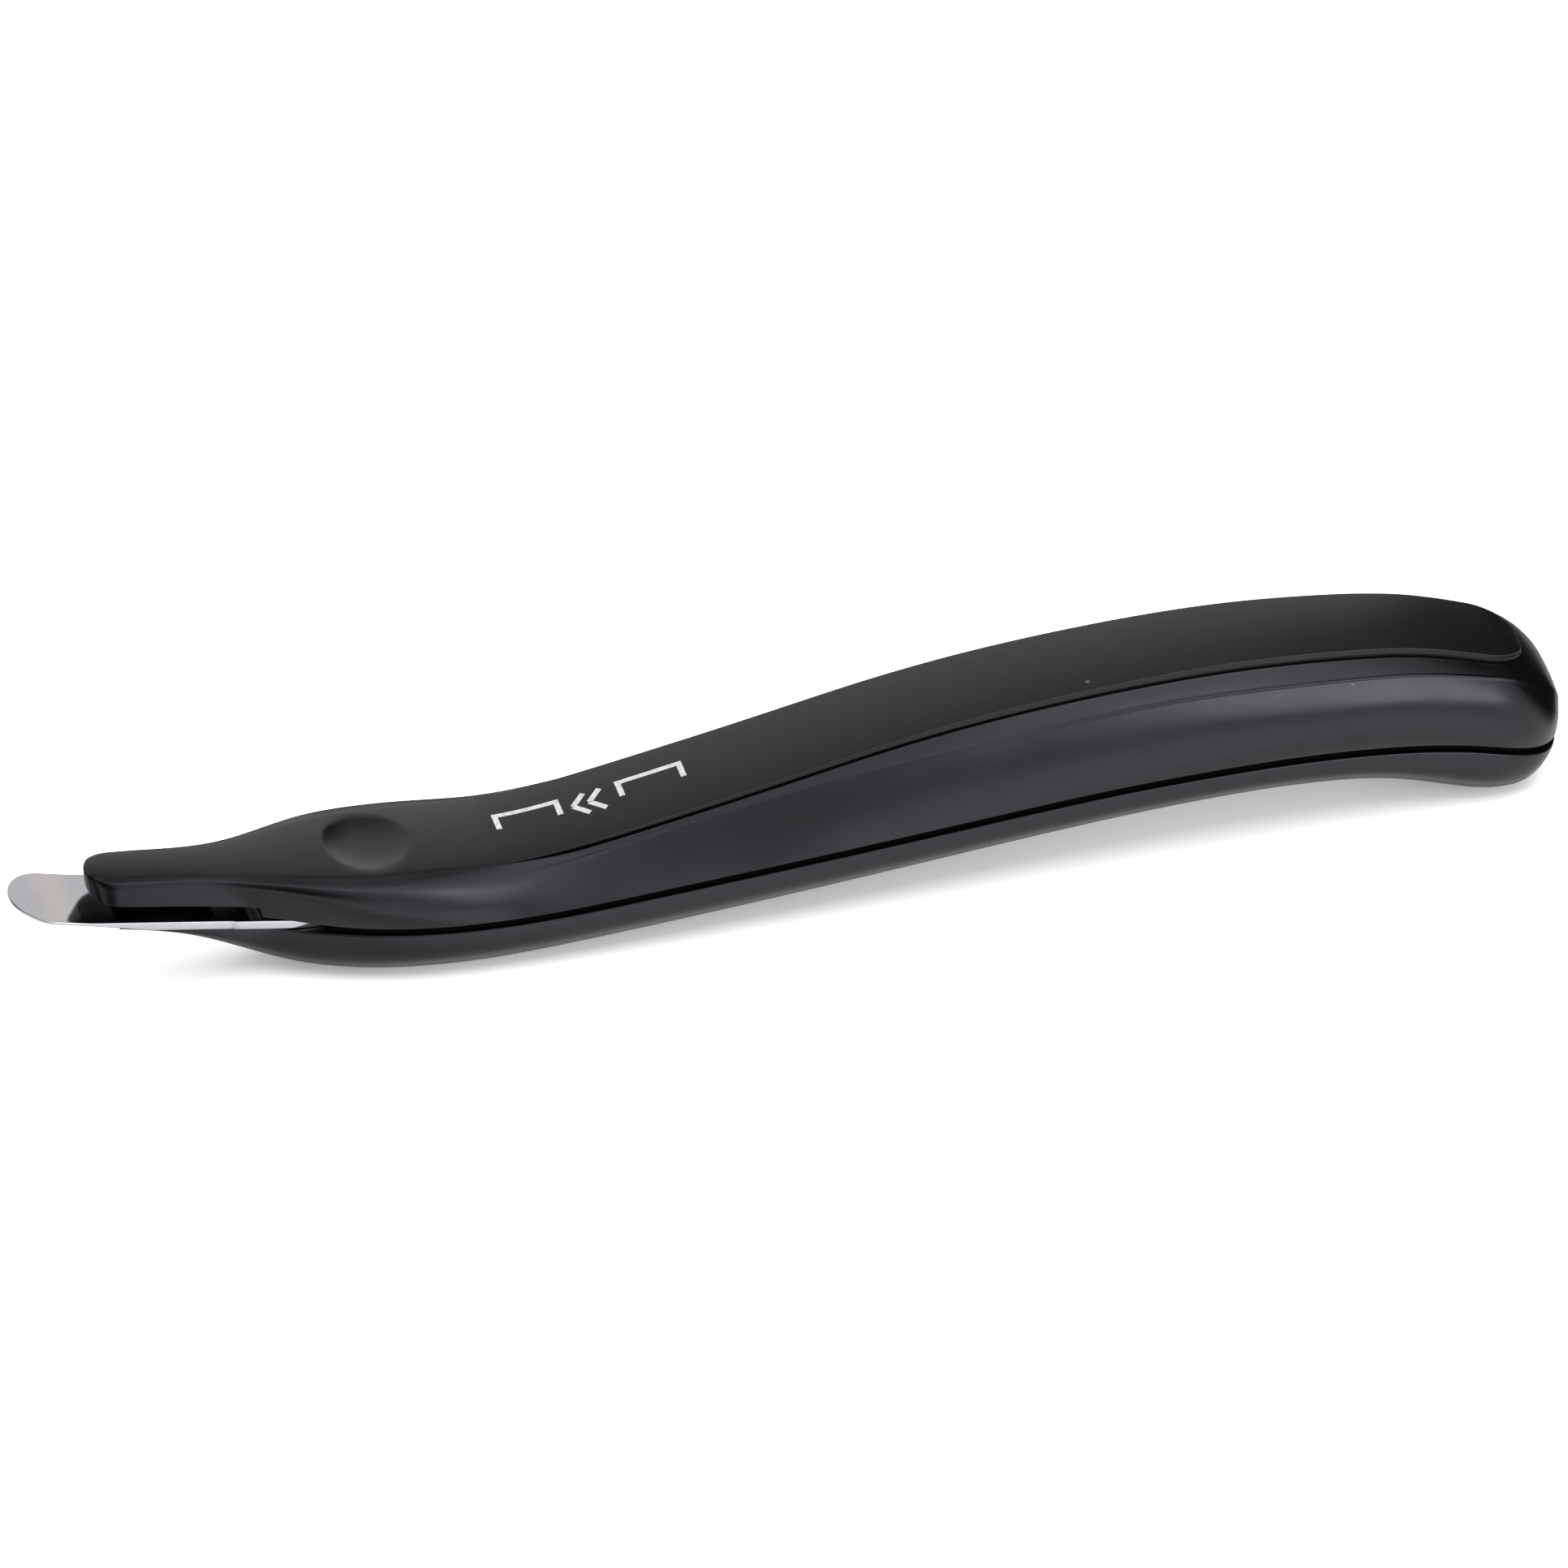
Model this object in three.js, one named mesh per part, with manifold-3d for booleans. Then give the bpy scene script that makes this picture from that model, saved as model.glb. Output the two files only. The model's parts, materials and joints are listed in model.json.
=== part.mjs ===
// Wand staple remover: a slim two-shell handle with a steel blade that slides under a staple.
// Millimetres, +Z up, +X from the blade tip towards the tail, +Y across, symmetric about Y = 0.
// The object lies at rest: the belly and the tail bump touch Z = 0 and the nose points up a little.
import * as THREE from 'three';
import { mergeVertices } from 'three/addons/utils/BufferGeometryUtils.js';
import Module from 'manifold-3d';

const wasm = await Module();
wasm.setup();

// ---------- driving dimensions ----------
const NOSE_FRONT_X = -77.6;
const NOSE_ROUND = 3.6; // length over which the nose rounds off in plan
const NOSE_FULLNESS = 2.3; // superellipse power of the nose in plan
const TAIL_END_X = 85.6;
const TAIL_ROUND = 9.7; // length over which the tail rounds off in plan
const TAIL_FULLNESS = 2.6; // superellipse power of the tail in plan
const TAIL_TOP_ROUND = 8.8; // the same two for the shoulder, where the tail is squarer
const TAIL_TOP_FULLNESS = 2.8;
const TAIL_LEAN = { from: 77, rate: 0.2, pivotZ: 9 }; // the end face leans out towards the top
const NOSE_LEAN = { from: -74, rate: 0.11, pivotZ: 16.5 }; // and the nose sets back towards the blade

const LOWER_FRONT_X = -74.6; // the lower shell starts as a thin wedge under the blade
const BLADE_TIP_X = -85.9;
const BLADE_HALF_WIDTH = 4.4;
const TANG_HALF_WIDTH = 4.5;
const TANG_SHOULDER_X = -62;
const TANG_END_X = -31;
const BLADE_THICKNESS = 1.05;
const BLADE_SLOPE = -0.185; // fall of the blade's top face per millimetre of X
const BLADE_REF = { x: -62.5, z: 9.67 }; // a point on the blade's top face
const TONGUE_BEND_X = -77.9;
const TONGUE_BEND_LENGTH = 0.6; // half of the stretch over which the tongue bends
const TONGUE_EXTRA_SLOPE = -0.08; // the tongue is bent up by this much more
const TONGUE_THICKNESS = 0.4; // the tongue in front of the bend is ground thin
const FULL_THICKNESS_X = -71.5; // the blade has its full thickness behind this place
const TIP_ROUND = 4.2; // length over which the tongue's tip rounds off
const TIP_FULLNESS = 1.9; // superellipse power of the tongue's tip in plan
const BLADE_PITCH = Math.atan(-BLADE_SLOPE);

const STAPLE_SLOT_HEIGHT = 1.55; // clear height between the nose and the blade
const STAPLE_SLOT_END_X = -59.1;
const REVEAL_HEIGHT = 0.8; // dark gap between the two shells
const REVEAL_BLEND = { from: -56, length: 7 }; // where the gap narrows from the blade's to the reveal's
const CLEARANCE = 0.12; // between parts that lie face to face
const TURNED_CLEARANCE = 0.3; // round parts that are set at the blade's pitch

const DIMPLE = { x: -45.6, halfLength: 4.75, halfWidth: 5.75, depth: 0.95 };
const STRIP_FRONT_X = -33;
const STRIP_END_X = 81;
const STRIP_POCKET_DEPTH = 1.1;
const STRIP_GAP = 0.15;
const STRIP_END_ROUND = 5; // length over which the strip's rear corners round off
const STRIP_END_FULLNESS = 2.2; // superellipse power of the strip's rear corners
const STRIP_EDGE_ROUND = 0.25;
const SIDE_WALL = 1.8;
const ROOF_WALL = 1.6;
const FLOOR_WALL = 1.6;
const CAVITY_FRONT_X = -50;
const CAVITY_END_X = 79;
// the seam frame's plate fills the reveal, and its rib stands inside both shells to locate them
const FRAME_PLATE = { inset: 0.35, frontX: -52, rearX: 84.9 };
const FRAME_RIB = { inset: 3.4, thickness: 1.1, frontX: -24, rearX: 77, below: 1.6, above: 0.9 };

// Profiles along X: each pair is a place and the value there, joined by a smooth curve.
const TOP_HALF_WIDTH = [
  [-77.6, 2.3], [-72.6, 2.45], [-61.8, 3.4], [-57.5, 4.3], [-52, 5.7], [-47, 6.35], [-40, 6.2],
  [-30, 5.95], [-10, 5.85], [20, 5.75], [50, 5.5], [70, 5.15], [86, 4.7],
];
const TOP_HEIGHT = [
  [-77.6, 16.55], [-72.6, 16.0], [-67, 15.2], [-61.8, 14.5], [-57.5, 14.2], [-52, 14.0], [-47, 13.6],
  [-40, 13.0], [-31, 12.6], [-24, 13.4], [-16, 14.85], [0, 18.0], [10, 20.0], [20, 21.5], [30, 22.4],
  [41, 22.85], [50, 22.7], [60, 21.8], [70, 19.95], [76, 17.9], [80, 16.0], [83, 13.1],
  [85, 9.8], [85.7, 8.1],
];
const SHOULDER_HALF_WIDTH = [
  [-77.6, 2.9], [-72.6, 3.1], [-61.8, 3.9], [-57.5, 5.35], [-52, 7.2], [-47, 8.2], [-41, 8.6],
  [-35, 8.3], [-29, 7.6], [-21, 6.95], [0, 7.0], [24, 7.2], [50, 7.3], [70, 7.2], [78, 6.6], [86, 5.4],
];
const SHOULDER_HEIGHT = [
  [-77.6, 16.1], [-72.6, 15.45], [-61.8, 13.9], [-57.5, 13.55], [-52, 12.9], [-47, 12.1], [-41, 11.45],
  [-35, 11.15], [-29, 11.7], [-21, 12.95], [-12, 14.5], [0, 16.6], [10.6, 18.2], [24.5, 19.5], [33, 20.2],
  [42, 20.5], [51.5, 20.2], [60.5, 19.6], [69.5, 18.3], [76, 16.35], [80, 14.55], [83, 11.9],
  [85, 9.0], [85.7, 7.4],
];
const SEAM_HALF_WIDTH = [
  [-77.6, 3.85], [-62, 3.95], [-59, 4.0], [-56.5, 4.5], [-54.5, 5.2], [-52, 6.1], [-48, 7.45], [-44, 8.4],
  [-40, 9.0], [-34, 9.5], [-24, 9.85], [0, 9.85], [25, 9.65], [50, 9.4], [72, 9.1], [86, 8.7],
];
const SEAM_HEIGHT = [
  [-77.6, 11.94], [-66, 9.79], [-61, 8.87], [-56, 7.94], [-52, 7.6], [-47, 7.45], [-40, 7.25], [-30, 7.3],
  [-16, 8.1], [0, 9.05], [20, 10.4], [34, 11.25], [45, 11.45], [55, 11.25], [64, 10.5], [72, 9.1],
  [78, 7.35], [82, 6.0], [85.7, 4.9],
];
const BOTTOM_HEIGHT = [
  [-74.6, 10.55], [-71, 9.35], [-66, 7.1], [-61, 4.1], [-58, 2.4], [-55, 1.25], [-51, 0.45], [-46, 0.03],
  [-40, -0.1], [-35, -0.05], [-28, 0.35], [-16, 1.2], [0, 2.4], [20, 4.15], [36, 5.35], [49, 5.75],
  [58, 5.3], [65, 4.0], [71, 1.7], [75, 0.25], [78, -0.12], [80.5, 0.3], [83, 1.95], [85, 3.9], [85.7, 4.5],
];
const STRIP_STEP = [[-34, 0], [-26, 0.3], [-18, 0.42], [20, 0.5], [50, 0.62], [86, 0.72]];
const TOP_CROWN = [[-78, 0.25], [-62, 0.35], [-47, 0.55], [-30, 0.5], [60, 0.45], [86, 0.3]];
// outward bow of the band between the top and the shoulder, and of the side wall under it
const BAND_BOW = [
  [-78, 0.12], [-60, 0.12], [-50, 0.2], [-38, 0.2], [-28, -0.1], [-18, -0.1], [10, 0], [86, 0.05],
];
const SIDE_BOW = [
  [-78, 0], [-55, 0.05], [-42, 0.3], [-28, 0], [-12, -0.1], [8, 0.4], [40, 0.9], [80, 1.1], [86, 0.9],
];

const CASE_SCREWS = { front: -12, rear: 62 }; // X of the screws that close the case from below
const BLADE_SCREWS = { front: -45, rear: -36 }; // X of the screws that hold the tang
const THREAD_RADIUS = 1.1;
const PILOT_RADIUS = 1.35; // the screw holes are a little wider than the threads
const CASE_SCREW = { headRadius: 2.4, headHeight: 1.4, length: 8.5 };
const BLADE_SCREW = { headRadius: 2.3, headHeight: 1.2, length: 3.4 };
const TANG_HOLE_RADIUS = 1.7;
const BLADE_BOSS_RADIUS = 2.5;
const CASE_BOSS_RADIUS = 2.5; // of the posts in both shells that the case screws pass through
const HEAD_WELL = { radius: 2.8, depth: 1.9, seat: 1.5, wall: 0.8 }; // for a case screw's head
const MAGNET = { x: -68.5, length: 11, width: 3.6, height: 1.2 };
const MAGNET_COVER_THICKNESS = 0.45;

// ---------- colours ----------
const finish = {
  shell: () => new THREE.MeshStandardMaterial({ color: 0x3b3b41, roughness: 0.38, metalness: 0 }),
  strip: () => new THREE.MeshStandardMaterial({ color: 0x2f2e31, roughness: 0.5, metalness: 0 }),
  frame: () => new THREE.MeshStandardMaterial({ color: 0x08080a, roughness: 0.7, metalness: 0 }),
  steel: () => new THREE.MeshStandardMaterial({ color: 0xc9cad0, roughness: 0.16, metalness: 1 }),
  zinc: () => new THREE.MeshStandardMaterial({ color: 0xa9abad, roughness: 0.35, metalness: 1 }),
  magnet: () => new THREE.MeshStandardMaterial({ color: 0x8f9296, roughness: 0.3, metalness: 1 }),
};

// ---------- curves ----------
// A natural cubic spline through a list of [place, value] pairs.
function smooth(pairs) {
  const n = pairs.length;
  const x = pairs.map((p) => p[0]);
  const y = pairs.map((p) => p[1]);
  const curvature = new Array(n).fill(0);
  const upper = new Array(n).fill(0);
  for (let i = 1; i < n - 1; i++) {
    const ratio = (x[i] - x[i - 1]) / (x[i + 1] - x[i - 1]);
    const pivot = ratio * curvature[i - 1] + 2;
    const bend = (y[i + 1] - y[i]) / (x[i + 1] - x[i]) - (y[i] - y[i - 1]) / (x[i] - x[i - 1]);
    curvature[i] = (ratio - 1) / pivot;
    upper[i] = ((6 * bend) / (x[i + 1] - x[i - 1]) - ratio * upper[i - 1]) / pivot;
  }
  for (let i = n - 2; i >= 0; i--) curvature[i] = curvature[i] * curvature[i + 1] + upper[i];
  curvature[n - 1] = 0;
  return (at) => {
    const clamped = Math.min(Math.max(at, x[0]), x[n - 1]);
    let i = 0;
    while (i < n - 2 && clamped > x[i + 1]) i++;
    const span = x[i + 1] - x[i];
    const a = (x[i + 1] - clamped) / span;
    const b = 1 - a;
    const bowed = (a ** 3 - a) * curvature[i] + (b ** 3 - b) * curvature[i + 1];
    return a * y[i] + b * y[i + 1] + (bowed * span * span) / 6;
  };
}

const topHalfWidth = smooth(TOP_HALF_WIDTH);
const topHeight = smooth(TOP_HEIGHT);
const shoulderHalfWidth = smooth(SHOULDER_HALF_WIDTH);
const shoulderHeight = smooth(SHOULDER_HEIGHT);
const seamHalfWidth = smooth(SEAM_HALF_WIDTH);
const seamHeight = smooth(SEAM_HEIGHT);
const bottomHeight = smooth(BOTTOM_HEIGHT);
const stripStep = smooth(STRIP_STEP);
const topCrown = smooth(TOP_CROWN);
const bandBow = smooth(BAND_BOW);
const sideBow = smooth(SIDE_BOW);

function roundOff(distance, length, power) {
  const t = Math.min(Math.max(1 - distance / length, 0), 1);
  return (1 - t ** power) ** (1 / power);
}

// 1 along the body, falling to a small value at the rounded nose and tail
function planRounding(x, tailLength = TAIL_ROUND, tailFullness = TAIL_FULLNESS) {
  const nose = roundOff(x - NOSE_FRONT_X + 0.02, NOSE_ROUND, NOSE_FULLNESS);
  const tail = roundOff(TAIL_END_X + 0.06 - x, tailLength, tailFullness);
  return nose * tail;
}

function topRounding(x) {
  return planRounding(x, TAIL_TOP_ROUND, TAIL_TOP_FULLNESS);
}

// how far a point near the tail moves along X so that the end face leans out at the top
function tailLean(x, z) {
  const t = Math.max(x - TAIL_LEAN.from, 0) / (TAIL_END_X - TAIL_LEAN.from);
  return TAIL_LEAN.rate * (z - TAIL_LEAN.pivotZ) * t * t;
}

function upperShellLean(x, z) {
  const t = Math.max(NOSE_LEAN.from - x, 0) / (NOSE_LEAN.from - NOSE_FRONT_X);
  return tailLean(x, z) + NOSE_LEAN.rate * (NOSE_LEAN.pivotZ - z) * t * t;
}

function bladeThickness(x) {
  const ground = Math.min(Math.max((FULL_THICKNESS_X - x) / (FULL_THICKNESS_X - TONGUE_BEND_X), 0), 1);
  return BLADE_THICKNESS + (TONGUE_THICKNESS - BLADE_THICKNESS) * ground;
}

function bladeTop(x) {
  const flat = BLADE_REF.z + BLADE_SLOPE * (x - BLADE_REF.x);
  const past = TONGUE_BEND_X - x;
  if (past <= -TONGUE_BEND_LENGTH) return flat;
  const bend = Math.min(past + TONGUE_BEND_LENGTH, 2 * TONGUE_BEND_LENGTH);
  const curved = (bend * bend) / (4 * TONGUE_BEND_LENGTH);
  const straight = Math.max(past - TONGUE_BEND_LENGTH, 0);
  return flat - TONGUE_EXTRA_SLOPE * (curved + straight);
}

// half of the gap between the shells: the blade's thickness in front, the reveal behind
function halfGap(x) {
  const t = Math.min(Math.max((x - REVEAL_BLEND.from) / REVEAL_BLEND.length, 0), 1);
  const blend = t * t * (3 - 2 * t);
  return (BLADE_THICKNESS / 2 + CLEARANCE) * (1 - blend) + (REVEAL_HEIGHT / 2) * blend;
}

// ---------- solids ----------
function toManifold(geometry) {
  const bare = geometry.clone();
  bare.deleteAttribute('normal');
  bare.deleteAttribute('uv');
  const merged = mergeVertices(bare, 1e-5);
  return new wasm.Manifold(
    new wasm.Mesh({
      numProp: 3,
      vertProperties: new Float32Array(merged.attributes.position.array),
      triVerts: new Uint32Array(merged.index.array),
    }),
  );
}

function toGeometry(solid) {
  const mesh = solid.getMesh();
  const geometry = new THREE.BufferGeometry();
  geometry.setAttribute('position', new THREE.Float32BufferAttribute(mesh.vertProperties, 3));
  geometry.setIndex(Array.from(mesh.triVerts));
  geometry.computeVertexNormals();
  return geometry;
}

// Skins a row of sections, each a closed ring of [y, z] at one x, and closes both ends.
function loft(stations, ringAt, lean = tailLean) {
  const positions = [];
  const indices = [];
  const rings = stations.map((x) => ringAt(x).map(([y, z]) => [x + lean(x, z), y, z]));
  const count = rings[0].length;
  for (const ring of rings) for (const point of ring) positions.push(...point);
  for (let s = 0; s < rings.length - 1; s++) {
    for (let i = 0; i < count; i++) {
      const j = (i + 1) % count;
      const a = s * count + i;
      const b = s * count + j;
      indices.push(a, a + count, b, b, a + count, b + count);
    }
  }
  const closeEnd = (ringIndex, flip) => {
    const ring = rings[ringIndex];
    const centre = [0, 1, 2].map((k) => ring.reduce((sum, p) => sum + p[k], 0) / count);
    const hub = positions.length / 3;
    positions.push(...centre);
    for (let i = 0; i < count; i++) {
      const a = ringIndex * count + i;
      const b = ringIndex * count + ((i + 1) % count);
      indices.push(...(flip ? [hub, b, a] : [hub, a, b]));
    }
  };
  closeEnd(0, false);
  closeEnd(rings.length - 1, true);
  const geometry = new THREE.BufferGeometry();
  geometry.setAttribute('position', new THREE.Float32BufferAttribute(positions, 3));
  geometry.setIndex(runsAnticlockwise(rings[0]) ? indices.reverse() : indices);
  return geometry;
}

// Whether a ring of points runs anticlockwise when it is seen from the tail, looking along -X.
function runsAnticlockwise(ring) {
  let doubleArea = 0;
  ring.forEach(([, y, z], i) => {
    const [, nextY, nextZ] = ring[(i + 1) % ring.length];
    doubleArea += y * nextZ - nextY * z;
  });
  return doubleArea > 0;
}

// Evenly spaced places from one x to another.
function stationsBetween(from, to, step) {
  const count = Math.max(Math.round((to - from) / step), 1);
  return Array.from({ length: count + 1 }, (_, i) => from + ((to - from) * i) / count);
}

// Places that start close together at a rounded end and spread out; the last place is left out.
function roundedEnd(from, to, count) {
  return Array.from({ length: count }, (_, i) => to + (from - to) * Math.cos((i / count) * (Math.PI / 2)));
}

const FLARE = { from: -62, to: -34 }; // where the body widens behind the nose
const TAIL_ROUND_X = TAIL_END_X - TAIL_ROUND;
const NOSE_STATIONS = roundedEnd(NOSE_FRONT_X, NOSE_FRONT_X + NOSE_ROUND, 6);
const TAIL_STATIONS = roundedEnd(TAIL_END_X, TAIL_ROUND_X, 9).reverse();
const BODY_STATIONS = [
  ...stationsBetween(FLARE.from, FLARE.to, 2).slice(0, -1),
  ...stationsBetween(FLARE.to, TAIL_ROUND_X, 3.6).slice(0, -1),
  ...TAIL_STATIONS,
];

// Points along a shallow arc between two corners; the last corner is left out.
function bowed(from, to, bow, steps) {
  const length = Math.hypot(to[0] - from[0], to[1] - from[1]) || 1;
  const normal = [(to[1] - from[1]) / length, -(to[0] - from[0]) / length];
  return Array.from({ length: steps }, (_, i) => {
    const t = i / steps;
    const lift = 4 * bow * t * (1 - t);
    return [
      from[0] + (to[0] - from[0]) * t + normal[0] * lift,
      from[1] + (to[1] - from[1]) * t + normal[1] * lift,
    ];
  });
}

// Mirrors the half ring that runs from the outer edge up to the centre line.
function mirrored(half) {
  const other = half
    .slice(0, -1)
    .reverse()
    .map(([y, z]) => [-y, z]);
  return [...half, ...other];
}

function upperRing(x) {
  const scale = planRounding(x);
  const seam = [seamHalfWidth(x) * scale, seamHeight(x) + halfGap(x)];
  const topScale = topRounding(x);
  const shoulder = [shoulderHalfWidth(x) * topScale, shoulderHeight(x)];
  const edge = [topHalfWidth(x) * topScale, topHeight(x) - stripStep(x)];
  const crown = topCrown(x) * topScale;
  const half = [
    ...bowed(seam, shoulder, sideBow(x) * scale, 7),
    ...bowed(shoulder, edge, bandBow(x) * topScale, 4),
  ];
  const topSteps = 4;
  for (let i = 0; i <= topSteps; i++) {
    const across = 1 - i / topSteps;
    half.push([edge[0] * across, edge[1] + crown * (1 - across * across)]);
  }
  return mirrored(half);
}

function lowerRing(x) {
  const scale = planRounding(x);
  const width = seamHalfWidth(x) * scale;
  const rim = seamHeight(x) - halfGap(x);
  const depth = Math.max(rim - bottomHeight(x), 0.25);
  const half = [];
  const steps = 10;
  const power = 2 / 3; // a superellipse that is squarer than an ellipse
  for (let i = 0; i <= steps; i++) {
    const angle = (i / steps) * (Math.PI / 2);
    half.push([width * Math.cos(angle) ** power, rim - depth * Math.sin(angle) ** power]);
  }
  half[steps][0] = 0;
  return mirrored(half);
}

const box = (x0, x1, halfY, z0, z1) => {
  const geometry = new THREE.BoxGeometry(x1 - x0, 2 * halfY, z1 - z0);
  geometry.translate((x0 + x1) / 2, 0, (z0 + z1) / 2);
  return toManifold(geometry);
};

const post = (x, radius, z0, z1, sides = 24) => {
  const geometry = new THREE.CylinderGeometry(radius, radius, z1 - z0, sides);
  geometry.rotateX(Math.PI / 2);
  geometry.translate(x, 0, (z0 + z1) / 2);
  return toManifold(geometry);
};

// A straight pillar square to the blade, from one depth to another measured from its top face.
const tiltedPost = (x, radius, low, high, sides = 24) => {
  const geometry = new THREE.CylinderGeometry(radius, radius, high - low, sides);
  geometry.rotateX(Math.PI / 2);
  geometry.translate(0, 0, (high + low) / 2);
  geometry.rotateY(BLADE_PITCH);
  geometry.translate(x, 0, bladeTop(x));
  return toManifold(geometry);
};

// ---------- blade ----------
function bladeStations() {
  const bendStart = TONGUE_BEND_X - TONGUE_BEND_LENGTH;
  const bendEnd = TONGUE_BEND_X + TONGUE_BEND_LENGTH;
  return [
    ...roundedEnd(BLADE_TIP_X, BLADE_TIP_X + TIP_ROUND, 9),
    ...stationsBetween(BLADE_TIP_X + TIP_ROUND, bendStart, 1.2),
    ...stationsBetween(bendStart, bendEnd, 0.4).slice(1),
    TANG_SHOULDER_X - 0.3,
    TANG_SHOULDER_X,
    TANG_END_X,
  ];
}

function bladeHalfWidth(x) {
  const full = x < TANG_SHOULDER_X ? BLADE_HALF_WIDTH : TANG_HALF_WIDTH;
  return full * roundOff(x - BLADE_TIP_X + 0.04, TIP_ROUND, TIP_FULLNESS);
}

function bladeLoft(grow) {
  return loft(bladeStations(), (x) => {
    const half = bladeHalfWidth(x) + grow;
    const high = bladeTop(x) + grow;
    const low = bladeTop(x) - bladeThickness(x) - grow;
    return [[-half, low], [half, low], [half, high], [-half, high]];
  });
}

function makeBlade() {
  let solid = toManifold(bladeLoft(0));
  for (const x of Object.values(BLADE_SCREWS)) {
    solid = solid.subtract(tiltedPost(x, TANG_HOLE_RADIUS, -3, 2));
  }
  return toGeometry(solid);
}

// ---------- upper shell ----------
function noseRoof(x) {
  return BLADE_REF.z + BLADE_SLOPE * (x - BLADE_REF.x) + STAPLE_SLOT_HEIGHT;
}

// The cut from below that leaves the nose standing clear over the blade.
function stapleSlot() {
  const halfWidth = 12;
  const depth = 4.5;
  const section = (x) => {
    const roof = noseRoof(x);
    return [[-halfWidth, roof - depth], [halfWidth, roof - depth], [halfWidth, roof], [-halfWidth, roof]];
  };
  return toManifold(loft([BLADE_TIP_X, STAPLE_SLOT_END_X], section));
}

// Height of the recess floor that the strip lies on.
function pocketFloor(x) {
  return topHeight(x) - stripStep(x) - STRIP_POCKET_DEPTH;
}

function upperCavity() {
  const section = (x) => {
    const scale = planRounding(x);
    const foot = seamHeight(x) - 1;
    const middle = shoulderHeight(x) - 2.2;
    const roof = pocketFloor(x) - ROOF_WALL;
    const footHalf = seamHalfWidth(x) * scale - SIDE_WALL - 0.4;
    const middleHalf = shoulderHalfWidth(x) * scale - ROOF_WALL;
    const roofHalf = topHalfWidth(x) * scale - ROOF_WALL;
    return [
      [-footHalf, foot], [footHalf, foot], [middleHalf, middle],
      [roofHalf, roof], [-roofHalf, roof], [-middleHalf, middle],
    ];
  };
  const straightRun = stationsBetween(CAVITY_FRONT_X, CAVITY_END_X - 6, 6);
  const stations = [...straightRun, CAVITY_END_X - 3, CAVITY_END_X];
  return toManifold(loft(stations, section));
}

function stripHalfWidth(x) {
  return topHalfWidth(x) * roundOff(STRIP_END_X + 0.2 - x, STRIP_END_ROUND, STRIP_END_FULLNESS) - 0.1;
}

// The recess that the strip lies in, cut from its floor upwards.
function stripPocket() {
  const end = STRIP_END_X + STRIP_GAP;
  const section = (x) => {
    const half = stripHalfWidth(x) + STRIP_GAP;
    const floor = pocketFloor(x);
    const open = floor + 6;
    return [[-half, floor], [half, floor], [half, open], [-half, open]];
  };
  const stations = [
    ...stationsBetween(STRIP_FRONT_X - STRIP_GAP, end - STRIP_END_ROUND, 4),
    ...roundedEnd(end, end - STRIP_END_ROUND, 6).reverse(),
  ];
  return toManifold(loft(stations, section));
}

// A scoop for the fingertip: a shallow piece of a flattened ball.
function fingerDimple() {
  const radius = (DIMPLE.halfLength ** 2 + DIMPLE.depth ** 2) / (2 * DIMPLE.depth);
  const ball = new THREE.SphereGeometry(radius, 48, 32);
  ball.scale(1, DIMPLE.halfWidth / DIMPLE.halfLength, 1);
  ball.translate(DIMPLE.x, 0, topHeight(DIMPLE.x) + topCrown(DIMPLE.x) + radius - DIMPLE.depth);
  return toManifold(ball);
}

// The pocket in the nose that opens into the staple slot.
function magnetPocket() {
  const depth = MAGNET.height + MAGNET_COVER_THICKNESS + 2 * TURNED_CLEARANCE;
  const mouth = 1;
  const geometry = new THREE.BoxGeometry(
    MAGNET.length + 2 * TURNED_CLEARANCE,
    MAGNET.width + 2 * TURNED_CLEARANCE,
    depth + mouth,
  );
  geometry.translate(0, 0, (depth - mouth) / 2);
  geometry.rotateY(BLADE_PITCH);
  geometry.translate(MAGNET.x, 0, noseRoof(MAGNET.x));
  return toManifold(geometry);
}

function makeUpperShell() {
  const neckStations = stationsBetween(-74, FLARE.from, 4).slice(0, -1);
  const stations = [...NOSE_STATIONS, ...neckStations, ...BODY_STATIONS];
  const bladeSeat = toManifold(bladeLoft(CLEARANCE));
  const cuts = [stapleSlot(), bladeSeat, fingerDimple(), stripPocket(), upperCavity()];
  let solid = toManifold(loft(stations, upperRing, upperShellLean));
  for (const cut of cuts) solid = solid.subtract(cut);
  for (const x of Object.values(CASE_SCREWS)) {
    const foot = seamHeight(x) + 1;
    const top = pocketFloor(x) - 0.8;
    solid = solid.add(post(x, CASE_BOSS_RADIUS, foot, top));
    solid = solid.subtract(post(x, PILOT_RADIUS, foot - 1, top - 1.2));
  }
  return toGeometry(solid.subtract(magnetPocket()));
}

// ---------- top strip ----------
function makeTopStrip() {
  const straightEnd = STRIP_END_X - STRIP_END_ROUND;
  const stations = [
    ...stationsBetween(STRIP_FRONT_X, straightEnd, 3.4),
    ...roundedEnd(STRIP_END_X, straightEnd, 6).reverse(),
  ];
  return loft(stations, (x) => {
    const half = stripHalfWidth(x);
    const top = topHeight(x);
    const crown = topCrown(x) * (half / topHalfWidth(x));
    const ring = [[half, pocketFloor(x) + CLEARANCE], [half, top - STRIP_EDGE_ROUND]];
    for (let i = 0; i <= 4; i++) {
      const across = 1 - i / 4;
      ring.push([(half - STRIP_EDGE_ROUND) * across, top + crown * (1 - across * across)]);
    }
    return mirrored(ring);
  });
}

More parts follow.
